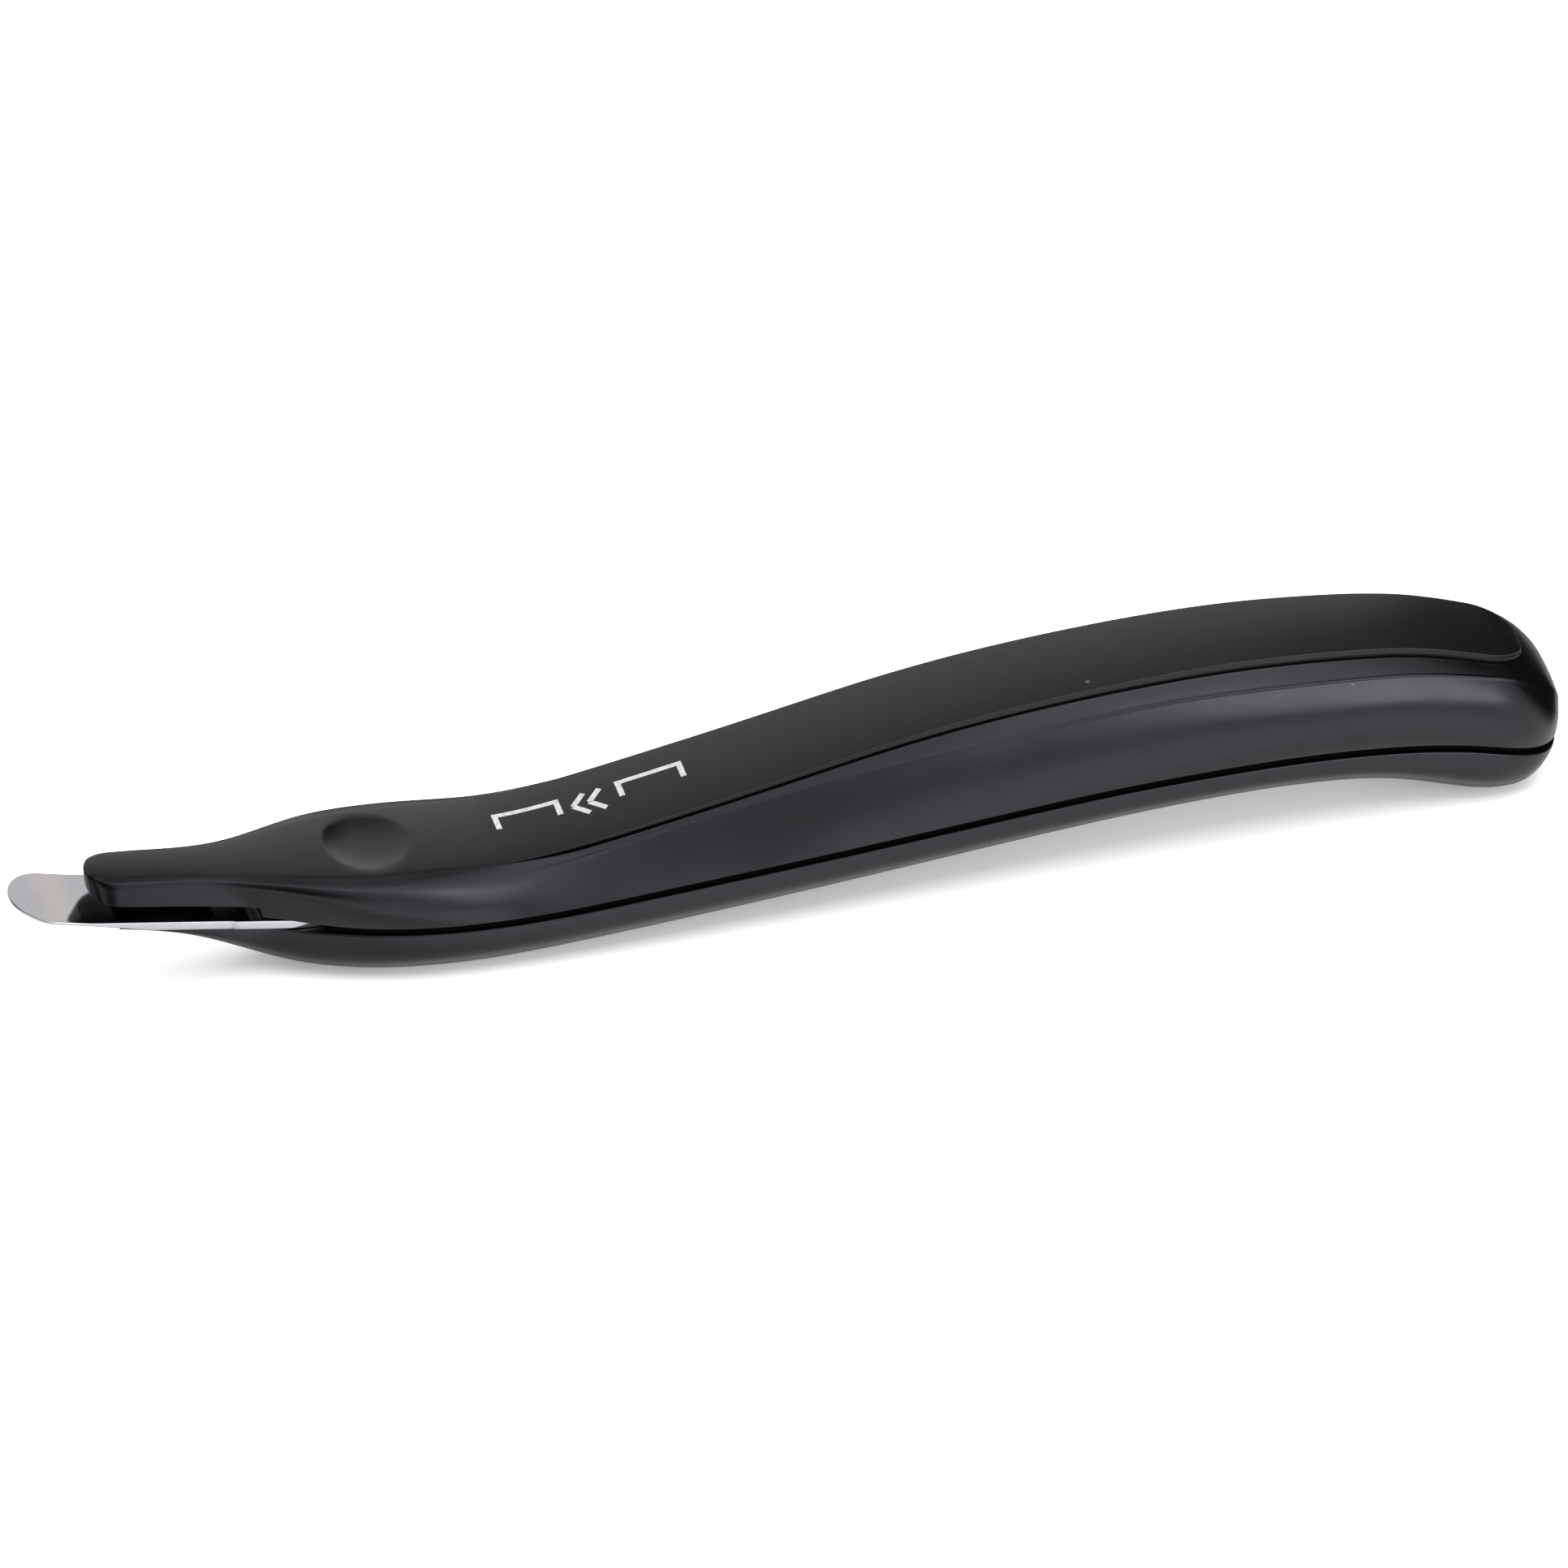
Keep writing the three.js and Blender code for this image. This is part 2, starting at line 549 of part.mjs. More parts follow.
// ---------- seam frame ----------
// A flat layer that follows the seam, set in from the shells' outline.
function seamLayer(inset, below, above, from, to) {
  const stations = [...stationsBetween(from, to - 9, 5), ...roundedEnd(to, to - 9, 6).reverse()];
  const section = (x) => {
    const outline = seamHalfWidth(x) * planRounding(Math.min(x + inset * 0.8, TAIL_END_X));
    const half = Math.max(outline - inset, 0.4);
    const z = seamHeight(x);
    return [[-half, z + below], [half, z + below], [half, z + above], [-half, z + above]];
  };
  return toManifold(loft(stations, section));
}

function makeSeamFrame() {
  const plateHalf = REVEAL_HEIGHT / 2 - CLEARANCE;
  const rib = FRAME_RIB;
  const plate = seamLayer(FRAME_PLATE.inset, -plateHalf, plateHalf, FRAME_PLATE.frontX, FRAME_PLATE.rearX);
  const outside = seamLayer(rib.inset, -rib.below, rib.above, rib.frontX, rib.rearX);
  const inside = seamLayer(rib.inset + rib.thickness, -4, 4, rib.frontX + 1.2, rib.rearX - 1.2);
  const overTang = box(-60, TANG_END_X - 2, TANG_HALF_WIDTH + 0.35, 0, 12);
  let solid = plate.add(outside);
  for (const cut of [inside, toManifold(bladeLoft(0.35)), overTang]) solid = solid.subtract(cut);
  return toGeometry(solid);
}

// ---------- lower shell ----------
function lowerCavity() {
  const section = (x) => {
    const half = seamHalfWidth(x) * planRounding(x) - SIDE_WALL;
    const floor = Math.max(bottomHeight(x), 0) + FLOOR_WALL;
    const floorHalf = half * 0.62;
    const seam = seamHeight(x);
    const knee = floor + (seam - floor) * 0.4;
    const open = seam + 1;
    return [
      [-floorHalf, floor], [floorHalf, floor], [half - 0.5, knee],
      [half, open], [-half, open], [-(half - 0.5), knee],
    ];
  };
  const straightRun = stationsBetween(CAVITY_FRONT_X, CAVITY_END_X - 7, 5);
  const stations = [...straightRun, CAVITY_END_X - 3, CAVITY_END_X];
  return toManifold(loft(stations, section));
}

function makeLowerShell() {
  const stations = [...stationsBetween(LOWER_FRONT_X, FLARE.from, 2.1).slice(0, -1), ...BODY_STATIONS];
  let solid = toManifold(loft(stations, lowerRing)).subtract(lowerCavity());
  for (const x of Object.values(BLADE_SCREWS)) {
    solid = solid.add(tiltedPost(x, BLADE_BOSS_RADIUS, 1 - bladeTop(x), -BLADE_THICKNESS));
  }
  solid = solid.subtract(toManifold(bladeLoft(CLEARANCE)));
  for (const x of Object.values(BLADE_SCREWS)) {
    solid = solid.subtract(tiltedPost(x, PILOT_RADIUS, -BLADE_SCREW.length - 0.4, 1));
  }
  for (const x of Object.values(CASE_SCREWS)) {
    const floor = bottomHeight(x);
    const seat = floor + HEAD_WELL.depth + HEAD_WELL.seat;
    const top = seamHeight(x) - 1.2;
    solid = solid.add(post(x, HEAD_WELL.radius + HEAD_WELL.wall, floor + 1, seat));
    solid = solid.add(post(x, CASE_BOSS_RADIUS, floor + 1, top));
    solid = solid.subtract(post(x, HEAD_WELL.radius, -1, floor + HEAD_WELL.depth));
    solid = solid.subtract(post(x, PILOT_RADIUS, -1, top + 1));
  }
  const underTable = box(-90, 90, 30, -5, 0);
  return toGeometry(solid.subtract(underTable));
}

// ---------- fasteners and magnet ----------
// A pan-head screw with a cross recess: head up, thread down, the underside of its head at Z = 0.
function screwGeometry({ headRadius, headHeight, length }) {
  const pointLength = 1.4;
  const profile = [
    [0, -length], [THREAD_RADIUS * 0.35, -length],
    [THREAD_RADIUS, pointLength - length], [THREAD_RADIUS, 0],
    [headRadius, 0], [headRadius, headHeight * 0.55], [headRadius * 0.72, headHeight], [0, headHeight],
  ];
  const lathe = new THREE.LatheGeometry(profile.map(([r, z]) => new THREE.Vector2(r, z)), 24);
  lathe.rotateX(Math.PI / 2);
  let solid = toManifold(lathe);
  for (const turn of [0, Math.PI / 2]) {
    const slot = new THREE.BoxGeometry(headRadius * 1.1, headRadius * 0.28, headHeight);
    slot.rotateZ(turn);
    slot.translate(0, 0, headHeight);
    solid = solid.subtract(toManifold(slot));
  }
  return toGeometry(solid);
}

// ---------- assembly ----------
function piece(name, geometry, material) {
  const mesh = new THREE.Mesh(geometry, material);
  mesh.name = name;
  return mesh;
}

const stapleRemover = new THREE.Group();
stapleRemover.add(piece('upper_shell', makeUpperShell(), finish.shell()));
stapleRemover.add(piece('top_strip', makeTopStrip(), finish.strip()));
stapleRemover.add(piece('seam_frame', makeSeamFrame(), finish.frame()));
stapleRemover.add(piece('lower_shell', makeLowerShell(), finish.shell()));
stapleRemover.add(piece('blade', makeBlade(), finish.steel()));

// The nose magnet lies in a pocket over the staple slot, and a thin cover closes the pocket.
const magnetSeat = new THREE.Group();
magnetSeat.position.set(MAGNET.x, 0, noseRoof(MAGNET.x));
magnetSeat.rotation.y = BLADE_PITCH;
const coverShape = new THREE.BoxGeometry(MAGNET.length, MAGNET.width, MAGNET_COVER_THICKNESS);
const magnetCover = piece('magnet_cover', coverShape, finish.frame());
magnetCover.position.z = MAGNET_COVER_THICKNESS / 2;
const magnetShape = new THREE.BoxGeometry(MAGNET.length - 0.6, MAGNET.width - 0.4, MAGNET.height);
const noseMagnet = piece('nose_magnet', magnetShape, finish.magnet());
noseMagnet.position.z = MAGNET_COVER_THICKNESS + TURNED_CLEARANCE / 2 + MAGNET.height / 2;
magnetSeat.add(magnetCover, noseMagnet);
stapleRemover.add(magnetSeat);

// Two screws hold the tang to the lower shell.
for (const [place, x] of Object.entries(BLADE_SCREWS)) {
  const screw = piece(`blade_screw_${place}`, screwGeometry(BLADE_SCREW), finish.zinc());
  screw.position.set(x, 0, bladeTop(x) + 0.08);
  screw.rotation.y = BLADE_PITCH;
  stapleRemover.add(screw);
}

// Two screws close the case from below: their heads sit in wells in the lower shell.
for (const [place, x] of Object.entries(CASE_SCREWS)) {
  const screw = piece(`case_screw_${place}`, screwGeometry(CASE_SCREW), finish.zinc());
  screw.position.set(x, 0, bottomHeight(x) + HEAD_WELL.depth - 0.1);
  screw.rotation.x = Math.PI;
  stapleRemover.add(screw);
}

export default stapleRemover;
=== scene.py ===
"""Looks for a wand staple remover: fine shells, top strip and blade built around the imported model."""
import json
import math
import bmesh
import bpy
import numpy as np
from mathutils import Matrix, Vector

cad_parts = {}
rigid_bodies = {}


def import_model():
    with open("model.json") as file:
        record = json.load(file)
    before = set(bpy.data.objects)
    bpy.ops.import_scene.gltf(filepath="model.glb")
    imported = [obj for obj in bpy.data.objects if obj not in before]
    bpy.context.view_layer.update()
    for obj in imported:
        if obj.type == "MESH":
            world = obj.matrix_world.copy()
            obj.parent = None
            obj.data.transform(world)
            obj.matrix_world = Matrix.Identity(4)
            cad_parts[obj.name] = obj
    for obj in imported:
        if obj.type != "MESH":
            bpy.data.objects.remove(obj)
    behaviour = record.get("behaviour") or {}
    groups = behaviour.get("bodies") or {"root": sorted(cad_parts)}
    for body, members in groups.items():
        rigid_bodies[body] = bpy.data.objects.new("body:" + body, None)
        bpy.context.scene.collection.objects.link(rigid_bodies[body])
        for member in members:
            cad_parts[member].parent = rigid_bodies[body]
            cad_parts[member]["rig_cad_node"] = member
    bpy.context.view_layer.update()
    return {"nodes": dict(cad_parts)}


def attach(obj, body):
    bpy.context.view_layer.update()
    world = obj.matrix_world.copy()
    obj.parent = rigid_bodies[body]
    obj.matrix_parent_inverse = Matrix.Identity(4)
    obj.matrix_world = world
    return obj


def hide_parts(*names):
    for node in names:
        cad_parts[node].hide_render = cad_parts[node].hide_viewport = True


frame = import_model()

# ---------- driving dimensions, in millimetres ----------
NOSE_FRONT_X = -77.6
NOSE_ROUND = 3.6
NOSE_FULLNESS = 2.3
NOSE_TOP_FILLET = 0.9
NOSE_TOP_REACH = 1.6
NOSE_LEAN = {"from": -74, "rate": 0.11, "pivot_z": 16.5}
TAIL_END_X = 85.6
TAIL_ROUND = 9.7
TAIL_FULLNESS = 2.6
TAIL_TOP_ROUND = 8.8
TAIL_TOP_FULLNESS = 2.8
TAIL_LEAN = {"from": 77, "rate": 0.2, "pivot_z": 9}
# keeps the first and the last ring of a rounded end a little open
END_OPENING = 0.004

BLADE_TIP_X = -85.87
BLADE_HALF_WIDTH = 4.4
TANG_HALF_WIDTH = 4.5
TANG_SHOULDER_X = -62
TANG_END_X = -31
BLADE_THICKNESS = 1.05
TONGUE_THICKNESS = 0.4
FULL_THICKNESS_X = -71.5
BLADE_SLOPE = -0.185
BLADE_PITCH = math.atan(-BLADE_SLOPE)
BLADE_REF = {"x": -62.5, "z": 9.67}
TONGUE_BEND_X = -77.9
TONGUE_BEND_LENGTH = 0.6
TONGUE_EXTRA_SLOPE = -0.08
TIP_ROUND = 4.2
TIP_FULLNESS = 1.9
TIP_ROLL = {"length": 0.25, "height": 0.12}
BLADE_EDGE = 0.13
# points on each side and on each corner of a section's half ring, from below to above
BLADE_POINTS = [12, 4, 12]
BLADE_CORNER_POINTS = 4

SLOT_HEIGHT = 1.55
SLOT_END_X = -59.1
SLOT_END_LENGTH = 0.5
REVEAL_HEIGHT = 0.94
REVEAL_BLEND = {"from": -56, "length": 7}
CLEARANCE = 0.12

DIMPLE = {"x": -45.6, "half_length": 4.75, "half_width": 5.75, "depth": 0.95, "lip": 0.08}

STRIP_FRONT_X = -33
STRIP_END_X = 81
STRIP_END_ROUND = 5
STRIP_END_FULLNESS = 2.2
STRIP_END_BLUNT = 0.2
STRIP_INSET = 0.1
STRIP_EDGE = 0.16
STRIP_LIP = {"drop": 0.26, "width": 0.14, "slant": 0.25, "from": -25, "length": 20, "step_share": 0.6}
# how far each corner of the strip's section is rounded, from the floor to the top
STRIP_SOFTNESS = [0, 0.02, 0.06, 0.04, STRIP_EDGE, 0]
STRIP_POINTS = [6, 5, 3, 3, 26]
STRIP_CORNER_POINTS = 5
STRIP_GAP = 0.26
STRIP_GAP_START = {"share": 0.15, "length": 8}
STRIP_POCKET_DEPTH = 1.1
POCKET_DRAFT = 0.995
POCKET_EDGE = 0.05
LEDGE = {"width": 0.24, "ahead": 2, "length": 6}
BEAD = {"height": 0.1, "width": 0.15, "from": 0, "to": 83, "fade": 26, "end_fade": 3}
SHELL_EDGE = 0.13
# where the ring's inner corners lie ahead of the strip, as a share of the top's width
INNER_SHARE = 0.55
UPPER_POINTS = [6, 24, 10, 4, 4, 30]
UPPER_CORNER_POINTS = 6
LOWER_EDGE = 0.16
# the power of the lower shell's squarish round section
LOWER_FULLNESS = 3
LOWER_POINTS = 45

SIDE_WALL = 1.8
ROOF_WALL = 1.6
FLOOR_WALL = 1.6
CAVITY_FRONT_X = -50
CAVITY_END_X = 79
UPPER_CAVITY = {"below_seam": 1, "below_shoulder": 2.2, "foot_inset": 0.4}
LOWER_CAVITY = {"above_seam": 1, "knee_height": 0.4, "knee_inset": 0.5, "floor_share": 0.62}
LOWER_FRONT_X = -74.6
FRAME_PLATE = {"height": 0.56, "inset": 0.35, "from": -52, "to": 84.9}
FRAME_RIB = {
    "inset": 3.4, "thickness": 1.1, "end_thickness": 1.2, "from": -24, "to": 77,
    "below": 1.6, "above": 0.9, "cut": 4,
}
FRAME_END_LENGTH = 9
FRAME_WINDOW = {"from": -60, "to": TANG_END_X - 2, "top": 12}
FRAME_CLEARANCE = 0.35
TANG_SPACE_FRONT_X = -80
CASE_SCREW_X = (-12, 62)
CASE_SCREW_GAP = 1.2
BLADE_SCREW_X = (-45, -36)
BLADE_SCREW_BORE = 3.8
# from below the blade to above it
BLADE_HOLE_SPAN = (-3, 2)
PILOT_RADIUS = 1.35
BOSS_RADIUS = 2.5
BOSS_FLOOR = 1
BOSS_ROOF_GAP = 0.8
# how far a cutting tool reaches past the face it cuts
OVERSHOOT = 1
MAGNET_POCKET = {"x": -68.5, "length": 11.12, "width": 3.72, "height": 1.77, "overshoot": 0.5}
HEAD_WELL = {
    "radius": 2.8, "depth": 1.9, "seat": 1.5, "wall": 0.8, "rim": 0.1, "chamfer": 0.35, "bevel": 0.3,
}
TURNED_SIDES = 64

# Profiles along X: each pair is a place and the value there, joined by a smooth curve.
TOP_HALF_WIDTH = [
    (-77.6, 2.3), (-72.6, 2.45), (-61.8, 3.4), (-57.5, 4.3), (-52, 5.7), (-47, 6.35), (-40, 6.2),
    (-30, 5.95), (-10, 5.85), (20, 5.75), (50, 5.5), (70, 5.15), (86, 4.7),
]
TOP_HEIGHT = [
    (-77.6, 16.55), (-72.6, 16.0), (-67, 15.2), (-61.8, 14.5), (-57.5, 14.2), (-52, 14.0), (-47, 13.6),
    (-40, 13.0), (-31, 12.6), (-24, 13.4), (-16, 14.85), (0, 18.0), (10, 20.0), (20, 21.5), (30, 22.4),
    (41, 22.85), (50, 22.7), (60, 21.8), (70, 19.95), (76, 17.9), (80, 16.0), (83, 13.1),
    (85, 9.8), (85.7, 8.1),
]
SHOULDER_HALF_WIDTH = [
    (-77.6, 2.9), (-72.6, 3.1), (-61.8, 3.9), (-57.5, 5.35), (-52, 7.2), (-47, 8.2), (-41, 8.6),
    (-35, 8.3), (-29, 7.6), (-21, 6.95), (0, 7.0), (24, 7.2), (50, 7.3), (70, 7.2), (78, 6.6), (86, 5.4),
]
SHOULDER_HEIGHT = [
    (-77.6, 16.1), (-72.6, 15.45), (-61.8, 13.9), (-57.5, 13.55), (-52, 12.9), (-47, 12.1), (-41, 11.45),
    (-35, 11.15), (-29, 11.7), (-21, 12.95), (-12, 14.5), (0, 16.6), (10.6, 18.2), (24.5, 19.5), (33, 20.2),
    (42, 20.5), (51.5, 20.2), (60.5, 19.6), (69.5, 18.3), (76, 16.35), (80, 14.55), (83, 11.9),
    (85, 9.0), (85.7, 7.4),
]
SEAM_HALF_WIDTH = [
    (-77.6, 3.85), (-62, 3.95), (-59, 4.0), (-56.5, 4.5), (-54.5, 5.2), (-52, 6.1), (-48, 7.45), (-44, 8.4),
    (-40, 9.0), (-34, 9.5), (-24, 9.85), (0, 9.85), (25, 9.65), (50, 9.4), (72, 9.1), (86, 8.7),
]
SEAM_HEIGHT = [
    (-77.6, 11.94), (-66, 9.79), (-61, 8.87), (-56, 7.94), (-52, 7.6), (-47, 7.45), (-40, 7.25), (-30, 7.3),
    (-16, 8.1), (0, 9.05), (20, 10.4), (34, 11.25), (45, 11.45), (55, 11.25), (64, 10.5), (72, 9.1),
    (78, 7.35), (82, 6.0), (85.7, 4.9),
]
# below the table at the belly and the tail bump, where the shell is cut off into small flats
BOTTOM_HEIGHT = [
    (-74.6, 10.55), (-71, 9.35), (-66, 7.1), (-61, 4.1), (-58, 2.4), (-55, 1.25), (-51, 0.45), (-46, 0.03),
    (-40, -0.1), (-35, -0.05), (-28, 0.35), (-16, 1.2), (0, 2.4), (20, 4.15), (36, 5.35), (49, 5.75),
    (58, 5.3), (65, 4.0), (71, 1.7), (75, 0.25), (78, -0.12), (80.5, 0.3), (83, 1.95), (85, 3.9),
    (85.7, 4.5),
]
STRIP_STEP = [(-33.2, 0), (-29, 0.12), (-24, 0.33), (-18, 0.42), (20, 0.5), (50, 0.62), (86, 0.72)]
TOP_CROWN = [(-78, 0.25), (-62, 0.35), (-47, 0.55), (-30, 0.5), (60, 0.45), (86, 0.3)]
BAND_BOW = [
    (-78, 0.12), (-60, 0.12), (-50, 0.2), (-38, 0.2), (-28, -0.1), (-18, -0.1), (10, 0), (86, 0.05),
]
SIDE_BOW = [
    (-78, 0), (-55, 0.05), (-42, 0.3), (-28, 0), (-12, -0.1), (8, 0.4), (40, 0.9), (80, 1.1), (86, 0.9),
]
# how far the rounding of each lengthwise edge reaches to both of its sides
SHOULDER_SOFTNESS = [
    (-78, 0.35), (-62, 0.4), (-57, 0.9), (-50, 1.6), (-40, 2.0), (-28, 2.0), (-12, 1.2), (4, 0.5),
    (14, 0.2), (76, 0.2), (79, 0.5), (82, 2.2), (86, 2.2),
]
EDGE_SOFTNESS = [
    (-78, 0.3), (-62, 0.4), (-52, 0.9), (-42, 0.9), (-37, 0.5), (-33, 0.15), (76, 0.14), (80, 0.3),
    (83, 1.2), (86, 1.2),
]
MM = 0.001
# a corner's rounding takes at most this share of a side
ROUNDING_LIMIT = 0.46
CROWDING = 2.2

# generic printed marks on the front of the strip, in millimetres
PRINT = {
    "staples_at": (-32.2, -18.6), "staple_length": 7.4, "height": 3.3, "leg": 2.3, "stroke": 0.62,
    "arrows_at": (-23.6, -21.8), "arrow_length": 1.5,
}
PRINT_STEP = 0.25
PRINT_PROUD = 0.012
PRINT_DEPTH = 0.05

# ---------- colours, lights and camera, in metres ----------
SHELL_DARK = (0.001, 0.001, 0.0012)
SHELL_LIGHT = (0.0016, 0.0016, 0.0019)
STRIP_REAR_DARK = (0.0015, 0.0015, 0.0013)
STRIP_REAR_LIGHT = (0.0024, 0.0023, 0.002)
FRAME_DARK = (0.0008, 0.0008, 0.0008)
FRAME_LIGHT = (0.0016, 0.0016, 0.0016)
STEEL = (0.52, 0.51, 0.545)
# the colour of a painted warm reflection on the blade's tongue, near its tip
WARM_REFLECTION_TINT = (0.62, 0.57, 0.5)
DUST = (0.12, 0.12, 0.12)
VIOLET_SHEEN = (0.9, 0.885, 1.0)
NEUTRAL_SHEEN = (0.95, 0.945, 0.95)
ZINC = (0.52, 0.53, 0.55)
NICKEL = (0.62, 0.6, 0.56)
INK = (0.42, 0.42, 0.43)
FLOOR_COLOR = (0.88, 0.88, 0.88)
FLOOR_REACH = 30
FLOOR_GLOW = 0.25
# how bright smudges and scratches are, as a share of the steel's colour
STEEL_SHARES = {"smudge": 0.93, "scratch": 0.9}
# places along X where a look changes, with its strength
NOSE_SHEEN = {"from": -0.078, "to": -0.056, "nose": 0.36, "body": 0.5}
STRIP_DARKENS = {"from": -0.02, "to": 0.06}
# a painted warm reflection on the blade's tongue, just ahead of the nose
PAINTED_WARM_REFLECTION = {"from": -0.0845, "peak": -0.0805, "to": -0.0775, "strength": 0.5}
DUST_STRENGTH = {"shell": 0.55, "strip": 0.5}
# faces that meet at more than this angle, in degrees, are shaded as a sharp edge
SHARP_ANGLE = 34

# the studio as the gloss sees it: radiance above and below, then patches in front of it
STUDIO_TOP = 0.9
STUDIO_BOTTOM = 1.15
# (azimuth, elevation, inner angle, outer angle, radiance), with the angles in degrees
STUDIO_PATCHES = [
    (-80, -20, 6, 24, 1.5),
    (-115, -62, 16, 30, 0.6),
    (105, -40, 32, 50, 0.4),
    (-145, 30, 28, 45, 0.08),
    (24, 8, 37, 48, 0.02),
    (80, 26, 34, 50, 0.02),
    (125, 25, 26, 42, 0.02),
    (-66, 60, 10, 28, 1.7),
    (165, 12, 36, 54, 0.08),
    (-112, -3, 17, 25, 0.04),
]
LIGHTS = [
    {
        "name": "back_card", "place": (-0.18, 0.36, 0.31), "aim": (-0.18, 0, 0.31), "size": (0.86, 0.6),
        "radiance": 0.88, "seen_in_gloss": True,
    },
    {
        "name": "front_box", "place": (0.28, -0.38, 0.235), "aim": (0.06, 0, 0.01), "size": (0.34, 0.27),
        "radiance": 3.2, "seen_in_gloss": True,
    },
    {
        "name": "fill", "place": (0, 0, 3), "aim": (0, 0, 0), "size": (4, 4),
        "radiance": 3.6, "seen_in_gloss": False,
    },
]
CAMERA = {
    "azimuth_elevation": (-15, 38.5), "aim_up": 0.00953, "aim_right": -0.00024,
    "distance": 5.6, "lens": 1200, "sensor": 36, "clip": (0.1, 50),
}


# ---------- curves ----------
def smooth(pairs):
    """A natural cubic spline through a list of (place, value) pairs."""
    x = np.array([p[0] for p in pairs], float)
    y = np.array([p[1] for p in pairs], float)
    n = len(x)
    gap = np.diff(x)
    rise = np.diff(y) / gap
    system = np.eye(n)
    target = np.zeros(n)
    for i in range(1, n - 1):
        system[i, i - 1] = gap[i - 1]
        system[i, i] = 2 * (gap[i - 1] + gap[i])
        system[i, i + 1] = gap[i]
        target[i] = 6 * (rise[i] - rise[i - 1])
    curvature = np.linalg.solve(system, target)

    def value(at):
        at = np.clip(np.asarray(at, float), x[0], x[-1])
        i = np.clip(np.searchsorted(x, at, side="right") - 1, 0, n - 2)
        span = gap[i]
        a = (x[i + 1] - at) / span
        b = 1 - a
        bowed = (a**3 - a) * curvature[i] + (b**3 - b) * curvature[i + 1]
        return a * y[i] + b * y[i + 1] + bowed * span * span / 6

    return value


top_half_width = smooth(TOP_HALF_WIDTH)
top_height = smooth(TOP_HEIGHT)
shoulder_half_width = smooth(SHOULDER_HALF_WIDTH)
shoulder_height = smooth(SHOULDER_HEIGHT)
seam_half_width = smooth(SEAM_HALF_WIDTH)
seam_height = smooth(SEAM_HEIGHT)
bottom_height = smooth(BOTTOM_HEIGHT)
strip_step = smooth(STRIP_STEP)
top_crown = smooth(TOP_CROWN)
band_bow = smooth(BAND_BOW)
side_bow = smooth(SIDE_BOW)


def linear(pairs):
    """Straight lines through a list of (place, value) pairs."""
    x = [p[0] for p in pairs]
    y = [p[1] for p in pairs]
    return lambda at: np.interp(at, x, y)


shoulder_softness = linear(SHOULDER_SOFTNESS)
edge_softness = linear(EDGE_SOFTNESS)


def ease(t):
    """A soft step from 0 to 1."""
    t = np.clip(t, 0, 1)
    return t * t * (3 - 2 * t)


def round_off(distance, length, power):
    """How much of the width is left at a distance from a rounded end: 0 at the end, 1 past length."""
    t = np.clip(1 - np.asarray(distance, float) / length, 0, 1)
    return (1 - t**power) ** (1 / power)


def plan_rounding(x, length=TAIL_ROUND, power=TAIL_FULLNESS):
    """The rounding of the nose and the tail, seen from above."""
    nose = round_off(x - NOSE_FRONT_X + END_OPENING, NOSE_ROUND, NOSE_FULLNESS)
    tail = round_off(TAIL_END_X + END_OPENING - x, length, power)
    return nose * tail


def top_rounding(x):
    """The tail is squarer at the shoulder than at the seam."""
    return plan_rounding(x, TAIL_TOP_ROUND, TAIL_TOP_FULLNESS)


def tail_lean(x, z):
    """How far the tail's end face leans backwards at height z."""
    t = np.maximum(x - TAIL_LEAN["from"], 0) / (TAIL_END_X - TAIL_LEAN["from"])
    return TAIL_LEAN["rate"] * (z - TAIL_LEAN["pivot_z"]) * t * t


def upper_lean(x, z):
    """The tail's lean, and the nose's front face that leans back under its top edge."""
    t = np.maximum(NOSE_LEAN["from"] - x, 0) / (NOSE_LEAN["from"] - NOSE_FRONT_X)
    return tail_lean(x, z) + NOSE_LEAN["rate"] * (NOSE_LEAN["pivot_z"] - z) * t * t


def no_lean(x, z):
    return 0 * z


def blade_top(x):
    """The height of the blade's top face: a straight slope, then the tongue's slight bend."""
    x = np.asarray(x, float)
    flat = BLADE_REF["z"] + BLADE_SLOPE * (x - BLADE_REF["x"])
    past = TONGUE_BEND_X - x
    bend = np.clip(past + TONGUE_BEND_LENGTH, 0, 2 * TONGUE_BEND_LENGTH)
    curved = bend * bend / (4 * TONGUE_BEND_LENGTH)
    straight = np.maximum(past - TONGUE_BEND_LENGTH, 0)
    return flat - TONGUE_EXTRA_SLOPE * (curved + straight)


def blade_thickness(x):
    """The full thickness, ground down to the tongue's."""
    ground = np.clip((FULL_THICKNESS_X - x) / (FULL_THICKNESS_X - TONGUE_BEND_X), 0, 1)
    return BLADE_THICKNESS + (TONGUE_THICKNESS - BLADE_THICKNESS) * ground


def nose_roof(x):
    """The height of the staple slot's roof."""
    return BLADE_REF["z"] + BLADE_SLOPE * (x - BLADE_REF["x"]) + SLOT_HEIGHT


def half_gap(x):
    """Half of the gap between the shells: the blade's room at the nose, then the dark seam."""
    blend = ease((x - REVEAL_BLEND["from"]) / REVEAL_BLEND["length"])
    return (BLADE_THICKNESS / 2 + CLEARANCE) * (1 - blend) + REVEAL_HEIGHT / 2 * blend


def strip_half_width(x):
    end = round_off(STRIP_END_X + STRIP_END_BLUNT - x, STRIP_END_ROUND, STRIP_END_FULLNESS)
    return top_half_width(x) * end - STRIP_INSET


# ---------- meshes ----------
def new_object(name, data):
    made = bpy.data.objects.new(name, data)
    bpy.context.scene.collection.objects.link(made)
    return made


def places(*spans):
    """Places along X without repeats: each span is (from, to, step)."""
    found = []
    for start, end, step in spans:
        count = max(int(round(abs(end - start) / step)), 1)
        found.append(np.linspace(start, end, count + 1))
    return np.unique(np.round(np.concatenate(found), 5))


def gathered(*sets):
    """Several sets of places as one, in order and without repeats."""
    return np.unique(np.concatenate(sets))


